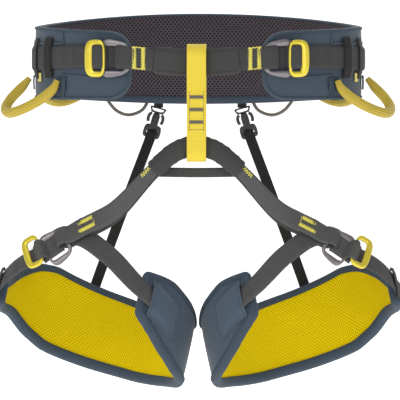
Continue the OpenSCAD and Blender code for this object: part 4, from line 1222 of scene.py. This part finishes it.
# %% Keepers
def keeper_line(place, middle, t, reach, width, low, high):
    """Up from the cloth, over the webbing and down again, in (height, d) pairs."""
    half = width / 2
    side = [(reach, low), (half + 4.5, low + 1.0), (half + 1.5, high - 0.7), (half - 2, high)]
    pairs = through([(-h, d) for h, d in side] + [(0, high + 0.1)] + side[::-1], 8)
    return place(np.full(len(pairs), t), middle + pairs[:, 0], pairs[:, 1])


def keeper(line, normal, width, thick, deep):
    """A keeper's band along its line."""
    return strap(line, np.tile(normal, (len(line), 1)), width, thick, rib=1.2, deep=deep)


bands = []
for t, width in ((-115.5, 14.5), (-103.0, 11.5)):
    line = keeper_line(on_belt, float(web_mid(t)), t, 21.0, WEB_W, 6.0, 8.6)
    bands.append(keeper(line, belt_normal(t), width, 1.3, 0.06))
pair("waist_keeper_bands", bands, black_elastic, "root", "black_elastic", ["waist_keepers_"])
line = keeper_line(leg_point, 0.0, -107.0, 13.0, LEG_WEB_W, 6.4, 8.8)
pair("leg_keeper_band", [keeper(line, leg_face_normal(-107.0), 9.5, 1.2, 0.1)], black_elastic, "leg_loops",
     "black_elastic", ["leg_keepers"])

# %% [markdown]
# ## Gear loops
# The gear loops are moulded in one soft plastic, with ridges along them that keep slings
# from rolling. A circle with small waves in its radius, carried along the loop, is that.

# %% Gear loops and the blue tabs that hold them
GEAR_DIA, GEAR_Z = 10.0, -18.0
GEAR_D = PAD_HALF + 2.2 + GEAR_DIA / 2
GEAR_ENDS = (-123.5, -92.0, -66.0, -43.0)
FRONT_GEAR = [
    (GEAR_ENDS[0], GEAR_Z, GEAR_D), (-122.5, -26, GEAR_D + 1), (-119, -35, 18), (-114, -44, 26), (-108, -51, 34),
    (-102.5, -53, 38), (-98, -48, 37), (-94.5, -39, 30), (-92.5, -28, 19), (GEAR_ENDS[1], GEAR_Z, GEAR_D)]
REAR_GEAR = [
    (GEAR_ENDS[2], GEAR_Z, GEAR_D), (GEAR_ENDS[2], GEAR_Z - 11, GEAR_D + 1), (-63, GEAR_Z - 23, GEAR_D + 4),
    (-55, GEAR_Z - 28, GEAR_D + 6), (-47, GEAR_Z - 23, GEAR_D + 4), (GEAR_ENDS[3], GEAR_Z - 11, GEAR_D + 1),
    (GEAR_ENDS[3], GEAR_Z, GEAR_D)]
END_INWARDS, END_LENGTH = 1.8, 9.0
gear_section = circle(GEAR_DIA, GEAR_DIA, 96, ridges=12, depth=0.06)
for name, path, up in (("front", FRONT_GEAR, (0.75, 0.1, -0.9)), ("rear", REAR_GEAR, (0.9, -0.5, 0.2))):
    path = np.array(path, float)
    path[[0, -1], 2] -= END_INWARDS
    line = through(on_belt(path[:, 0], path[:, 1], path[:, 2]), 10)
    s = run_along(line)
    ends = np.exp(-(np.minimum(s, s[-1] - s) / END_LENGTH) ** 2)
    flatter = np.stack([1 + 0.12 * ends, 1 - 0.4 * ends], -1)
    tube = carry(line, np.tile(up, (len(line), 1)), gear_section, flatter)
    pair(f"{name}_gear_loop_tube", [rod(tube)], mustard_plastic,
         f"{name}_gear_loop_", "gear_loop_plastic", [f"gear_loop_{name}_"])

tabs, rows = [], []
for t, tab_d, row_d in zip(GEAR_ENDS, (6.0, 5.4, 6.0, 6.0), (7.2, 6.6, 7.2, 7.2)):
    z = np.linspace(GEAR_Z + 3, GEAR_Z - 11.5, 18)
    line = on_belt(np.full(18, t), z, tab_d + 0.5 * np.sin(np.linspace(0, np.pi, 18)))
    tabs.append(strap(line, np.tile(belt_normal(t), (18, 1)), 16.0, 1.5, rib=1.6, deep=0.04))
    for edge in (2.0, -10.4):
        across = np.linspace(t - 2.5, t + 2.5, 8)
        spot = on_belt(across, GEAR_Z + edge, np.full(8, row_d))
        rows.append(stitches(spot, belt_normal(across), pitch=2.6, long=1.9, thick=0.6))
pair("gear_tabs", tabs, blue_tape, "root", "blue_binding", ["gear_loop_tabs_"])
pair("gear_tab_stitches", rows, blue_thread, "root", "blue_binding")

line = on_belt(np.full(14, -106.0), np.linspace(-11.5, -20.5, 14), 5.9)
patch = strap(line, np.tile(belt_normal(-106.0), (14, 1)), 8.5, 0.8, rib=1.0, deep=0.06)
pair("tape_patch", [patch], pale_tape, "root", "yellow_webbing")

# %% [markdown]
# ## Buckles and clips
# The buckles are stamped from plate and tumbled until every edge is round. Each one is an
# outline and a slot, and the metal between them is one loop of section: a ten-cornered ring
# that goes once round the slot. The moulded clips are made of the same two shapes.


# %% Plates, with a slot or without
def inset(outline, by):
    """The closed outline moved inwards, square to its own direction."""
    ahead = np.roll(outline, -1, 0) - np.roll(outline, 1, 0)
    return outline + unit(np.stack([-ahead[:, 1], ahead[:, 0]], -1)) * by


def smooth_box(width, height, power=4.0, count=96, lean=0.0):
    """A superellipse whose height grows from one end to the other by lean."""
    box = superellipse(width, height, power, count)
    return box * np.stack([np.ones(count), 1 + lean * box[:, 0] / width], -1)


def slotted_plate(outline, slot, thick, edge):
    """Ten rings of points: five round the outline and five round the slot."""
    h = thick / 2
    steps = ((1.0, -h), (0.25, edge * 0.75 - h), (0.0, 0.0), (0.25, h - edge * 0.75), (1.0, h))
    rings = [(inset(outline, edge * by), at) for by, at in steps]
    rings += [(inset(slot, -edge * by), at) for by, at in steps[::-1]]
    return np.stack([np.concatenate([r, np.full((len(r), 1), at)], 1) for r, at in rings])


def solid_plate(outline, thick, edge):
    """A stack of the same outline, smaller at both faces."""
    h = thick / 2
    rings = [(edge * 1.9, -h), (edge, -h), (edge * 0.25, edge * 0.75 - h), (0, 0), (edge * 0.25, h - edge * 0.75),
             (edge, h), (edge * 1.9, h)]
    return np.stack([np.concatenate([inset(outline, by), np.full((len(outline), 1), at)], 1) for by, at in rings])


def set_on(points, origin, along, across, outwards):
    """Plate coordinates to the harness's own."""
    return origin + points[..., :1] * along + points[..., 1:2] * across + points[..., 2:] * outwards


def waist_axes(t, d):
    """Where a plate sits on the belt at t, d out, with x away from the front's middle."""
    outwards = belt_normal(t)
    along = np.array([-abs(outwards[1]), outwards[0] * np.sign(outwards[1]), 0.0])
    return on_belt(np.array(t), web_mid(t), d), unit(along), np.array([0, 0, 1.0]), outwards


def leg_plate_axes(t, d):
    """Where a plate sits on the leg loop at t, d out, with x away from the front's middle."""
    middle, along, across, outwards = leg_axes(t)
    return middle + outwards * d, along, across, outwards


WEB_OUT = PAD_HALF + CLOTH_T + TAPE_T + 2.0
PLATE_T, PLATE_EDGE = 3.2, 0.9
PLATES = [  # name, axes, offset, length, height, slot's length and height and shift, lean, finish, body
    ("waist_frame", waist_axes(-150.4, WEB_OUT + 2.0), (-1.2, -1.9), 33.5, 38.0, (24.0, 25.4, 1.4), 0.34, grey_metal,
     "root"),
    ("waist_slider", waist_axes(-142.2, WEB_OUT + 6.2), (-2.6, -1.9), 23.5, 39.0, (10.8, 26.6, -3.2), -0.06,
     yellow_metal, "waist_slider_"),
    ("leg_frame", leg_plate_axes(-147.0, WEB_OUT + 2.6), (-4.4, -2.6), 28.5, 36.0, (21.0, 23.4, 1.0), 0.3, grey_metal,
     "leg_loops"),
    ("leg_slider", leg_plate_axes(-137.0, WEB_OUT + 8.3), (-2.6, 2.0), 21.5, 36.0, (11.0, 24.4, -2.2), -0.06,
     yellow_metal, "leg_slider_"),
]
for part, axes, nudge, length, height, slot, lean, metal, body in PLATES:
    rim = smooth_box(length, height, 3.4, lean=lean) + nudge
    hole = smooth_box(slot[0], slot[1], 7.0) + nudge + [slot[2], 0]
    plate = set_on(slotted_plate(rim, hole, PLATE_T, PLATE_EDGE), *axes)
    pair(f"{part}_plate", [closed_ring(plate)], metal, body,
         "grey_anodised" if metal is grey_metal else "yellow_anodised", [part.replace("_", "_buckle_") + "_"])
print("plates", len(rim), "points round each")

# %% Release clips
CLIP_POS, CLIP_LEAN = np.array([-45.996, 111.0, -60.0]), math.radians(16.0)


def clip_way(v):
    """A direction of the leaning clip's own frame."""
    x, y, z = v
    c, s = math.cos(CLIP_LEAN), math.sin(CLIP_LEAN)
    return np.array([x * c + z * s, y, z * c - x * s])


CLIP_AXES = (CLIP_POS, clip_way((1.0, 0, 0)), clip_way((0, 0, 1.0)), np.array([0.0, -1.0, 0.0]))


def clip_outline(points, step=6):
    """A smooth closed outline through the right half's points and their mirror images."""
    half = np.array(points, float)
    whole = np.concatenate([half, half[::-1] * [-1, 1]])
    knots = np.concatenate([whole[-2:], whole, whole[:2]])
    line = through(knots, step)
    line = line[2 * step:-2 * step]
    even, = resample(line[:-1], 0.5, closed=True)
    area = (even[:, 0] * np.roll(even[:, 1], -1) - even[:, 1] * np.roll(even[:, 0], -1)).sum()
    return even if area > 0 else even[::-1]


def facing(outline, slot):
    """The outline's points that lie on rays from the slot's middle through its own points."""
    middle = slot.mean(0)
    turn = np.unwrap(np.arctan2(*(outline - middle).T[::-1]))
    wanted = np.unwrap(np.arctan2(*(slot - middle).T[::-1]))
    wanted = turn[0] + (wanted - turn[0]) % (2 * np.pi)
    turn, round_again = np.append(turn, turn[0] + 2 * np.pi), np.concatenate([outline, outline[:1]])
    return np.stack([np.interp(wanted, turn, round_again[:, k]) for k in (0, 1)], -1)


BLOCK = smooth_box(7.8, 17.6, 5.0) + [0, -8.4]
BODY = clip_outline([(3.8, -12.2), (7.4, -13.2), (9.0, -16), (9.4, -21), (8.8, -25), (6.0, -26.8)])
MOUTH = smooth_box(11.6, 3.4, 3.0, 160) + [0, -20.8]
SPINE = clip_outline([(2.3, -0.4), (2.2, -5), (2.6, -10), (4.0, -14), (2.0, -16.6)])
PLUG = clip_outline([(5.8, 7.0), (8.6, 6.4), (8.3, 4.2), (6.6, 1.2), (4.4, 0.3)])
EYE = (PLUG - [0, 3.9]) * [0.74, 0.42] + [0, 3.9]
ARM = np.array([(5.2, -0.5), (6.7, -1.7), (7.7, -4.0), (7.9, -6.6), (7.5, -8.6), (7.0, -10.2)])


def set_clip(points, forward=0.0):
    """The clip's own coordinates to the harness's, moved forward a little."""
    return set_on(points, *CLIP_AXES) + [0, -forward, 0]


def clip_plate(outline, thick, edge, forward=0.0):
    """A solid plate of the clip as one closed grid."""
    return rod(set_clip(solid_plate(outline, thick, edge), forward))


shell = [closed_ring(set_clip(slotted_plate(facing(BODY, MOUTH), MOUTH, 6.4, 0.9))),
         clip_plate(BLOCK, 6.8, 0.8), clip_plate(SPINE, 1.6, 0.5, 3.3)]
shell += [clip_plate(smooth_box(0.9, 9.0, 2.6, 40) + [x, -7.0], 1.2, 0.25, 3.2) for x in (-3.6, 3.6)]
pair("clip_body", shell, black_plastic, "root", "black_plastic", ["riser_clip_female_"])
plug = [closed_ring(set_clip(slotted_plate(PLUG, EYE, 3.8, 0.5))),
        clip_plate(smooth_box(3.0, 12.0, 3, 40) + [0, -5.5], 2.2, 0.4)]
pair("clip_plug", plug, black_plastic, "riser_plug_", "black_plastic", ["riser_clip_male_"])
for name, sign in (("inner", 1), ("outer", -1)):
    arm = through(ARM * [sign, 1], 6)
    flat = set_clip(np.concatenate([arm, np.zeros((len(arm), 1))], 1))
    tube = carry(flat, np.tile([0, -1.0, 0], (len(flat), 1)), superellipse(3.4, 5.6, 3.2, 24))
    pair(f"clip_prong_{name}", [rod(tube)], black_plastic, f"prong_{name}_",
         "black_plastic", [f"riser_prong_{name}_"])

# %% [markdown]
# ## Risers
# Elastic straps join the back of the belt to the leg loops, each through a release clip.
# The strap crosses from one body to the other, so it is drawn bent between them and rides on
# neither of them, and there is a little tab above the clip.

# %% Tabs and riser straps
RISER_W, RISER_FOOT = 11.0, -4.0
for side, mirror in SIDES:
    top = on_belt(np.array(-15.0), -26.0, 6.4)
    line = through([top, [top[0], top[1] + 0.3, -42], CLIP_POS + [1.6, -0.3, 6.2]], 12)
    band = strap(line, np.tile(belt_normal(-15.0), (len(line), 1)), 10, 1.2, rib=1.2, deep=0.08)
    tab = piece(f"riser_tab_band_{side}", [band], black_elastic, "root", "black_elastic", [f"riser_tab_{side}"], mirror)
    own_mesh(tab)
    first = CLIP_POS + clip_way((0, 0, -22.2)) - [0, 3.9, 0]
    foot_d = PAD_HALF + CLOTH_T + TAPE_T + 0.8
    path = [first, CLIP_POS + clip_way((0, 0, -28.0)) - [0, 3.4, 0],
            (first + leg_point(RISER_FOOT, 52, foot_d + 2)) / 2, leg_point(RISER_FOOT, 50, foot_d + 2),
            leg_point(RISER_FOOT, 36, foot_d), leg_point(RISER_FOOT, 22, foot_d)]
    end_way = leg_way(np.array([0.0, 1.0, 0.0]))
    ups = [[0, 1, 0], [0, 1, 0], [0, 1, 0], np.array([0, 0.4, 0]) + end_way * 0.6, end_way, end_way]
    band = strap(through(path, 20), unit(through(ups, 20)), RISER_W, 1.6, rib=1.3, deep=0.08)
    riser = piece(f"riser_band_{side}", [band], black_elastic, "leg_loops", "black_elastic", [f"riser_strap_{side}"],
                  mirror, ride=False)
    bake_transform(riser)
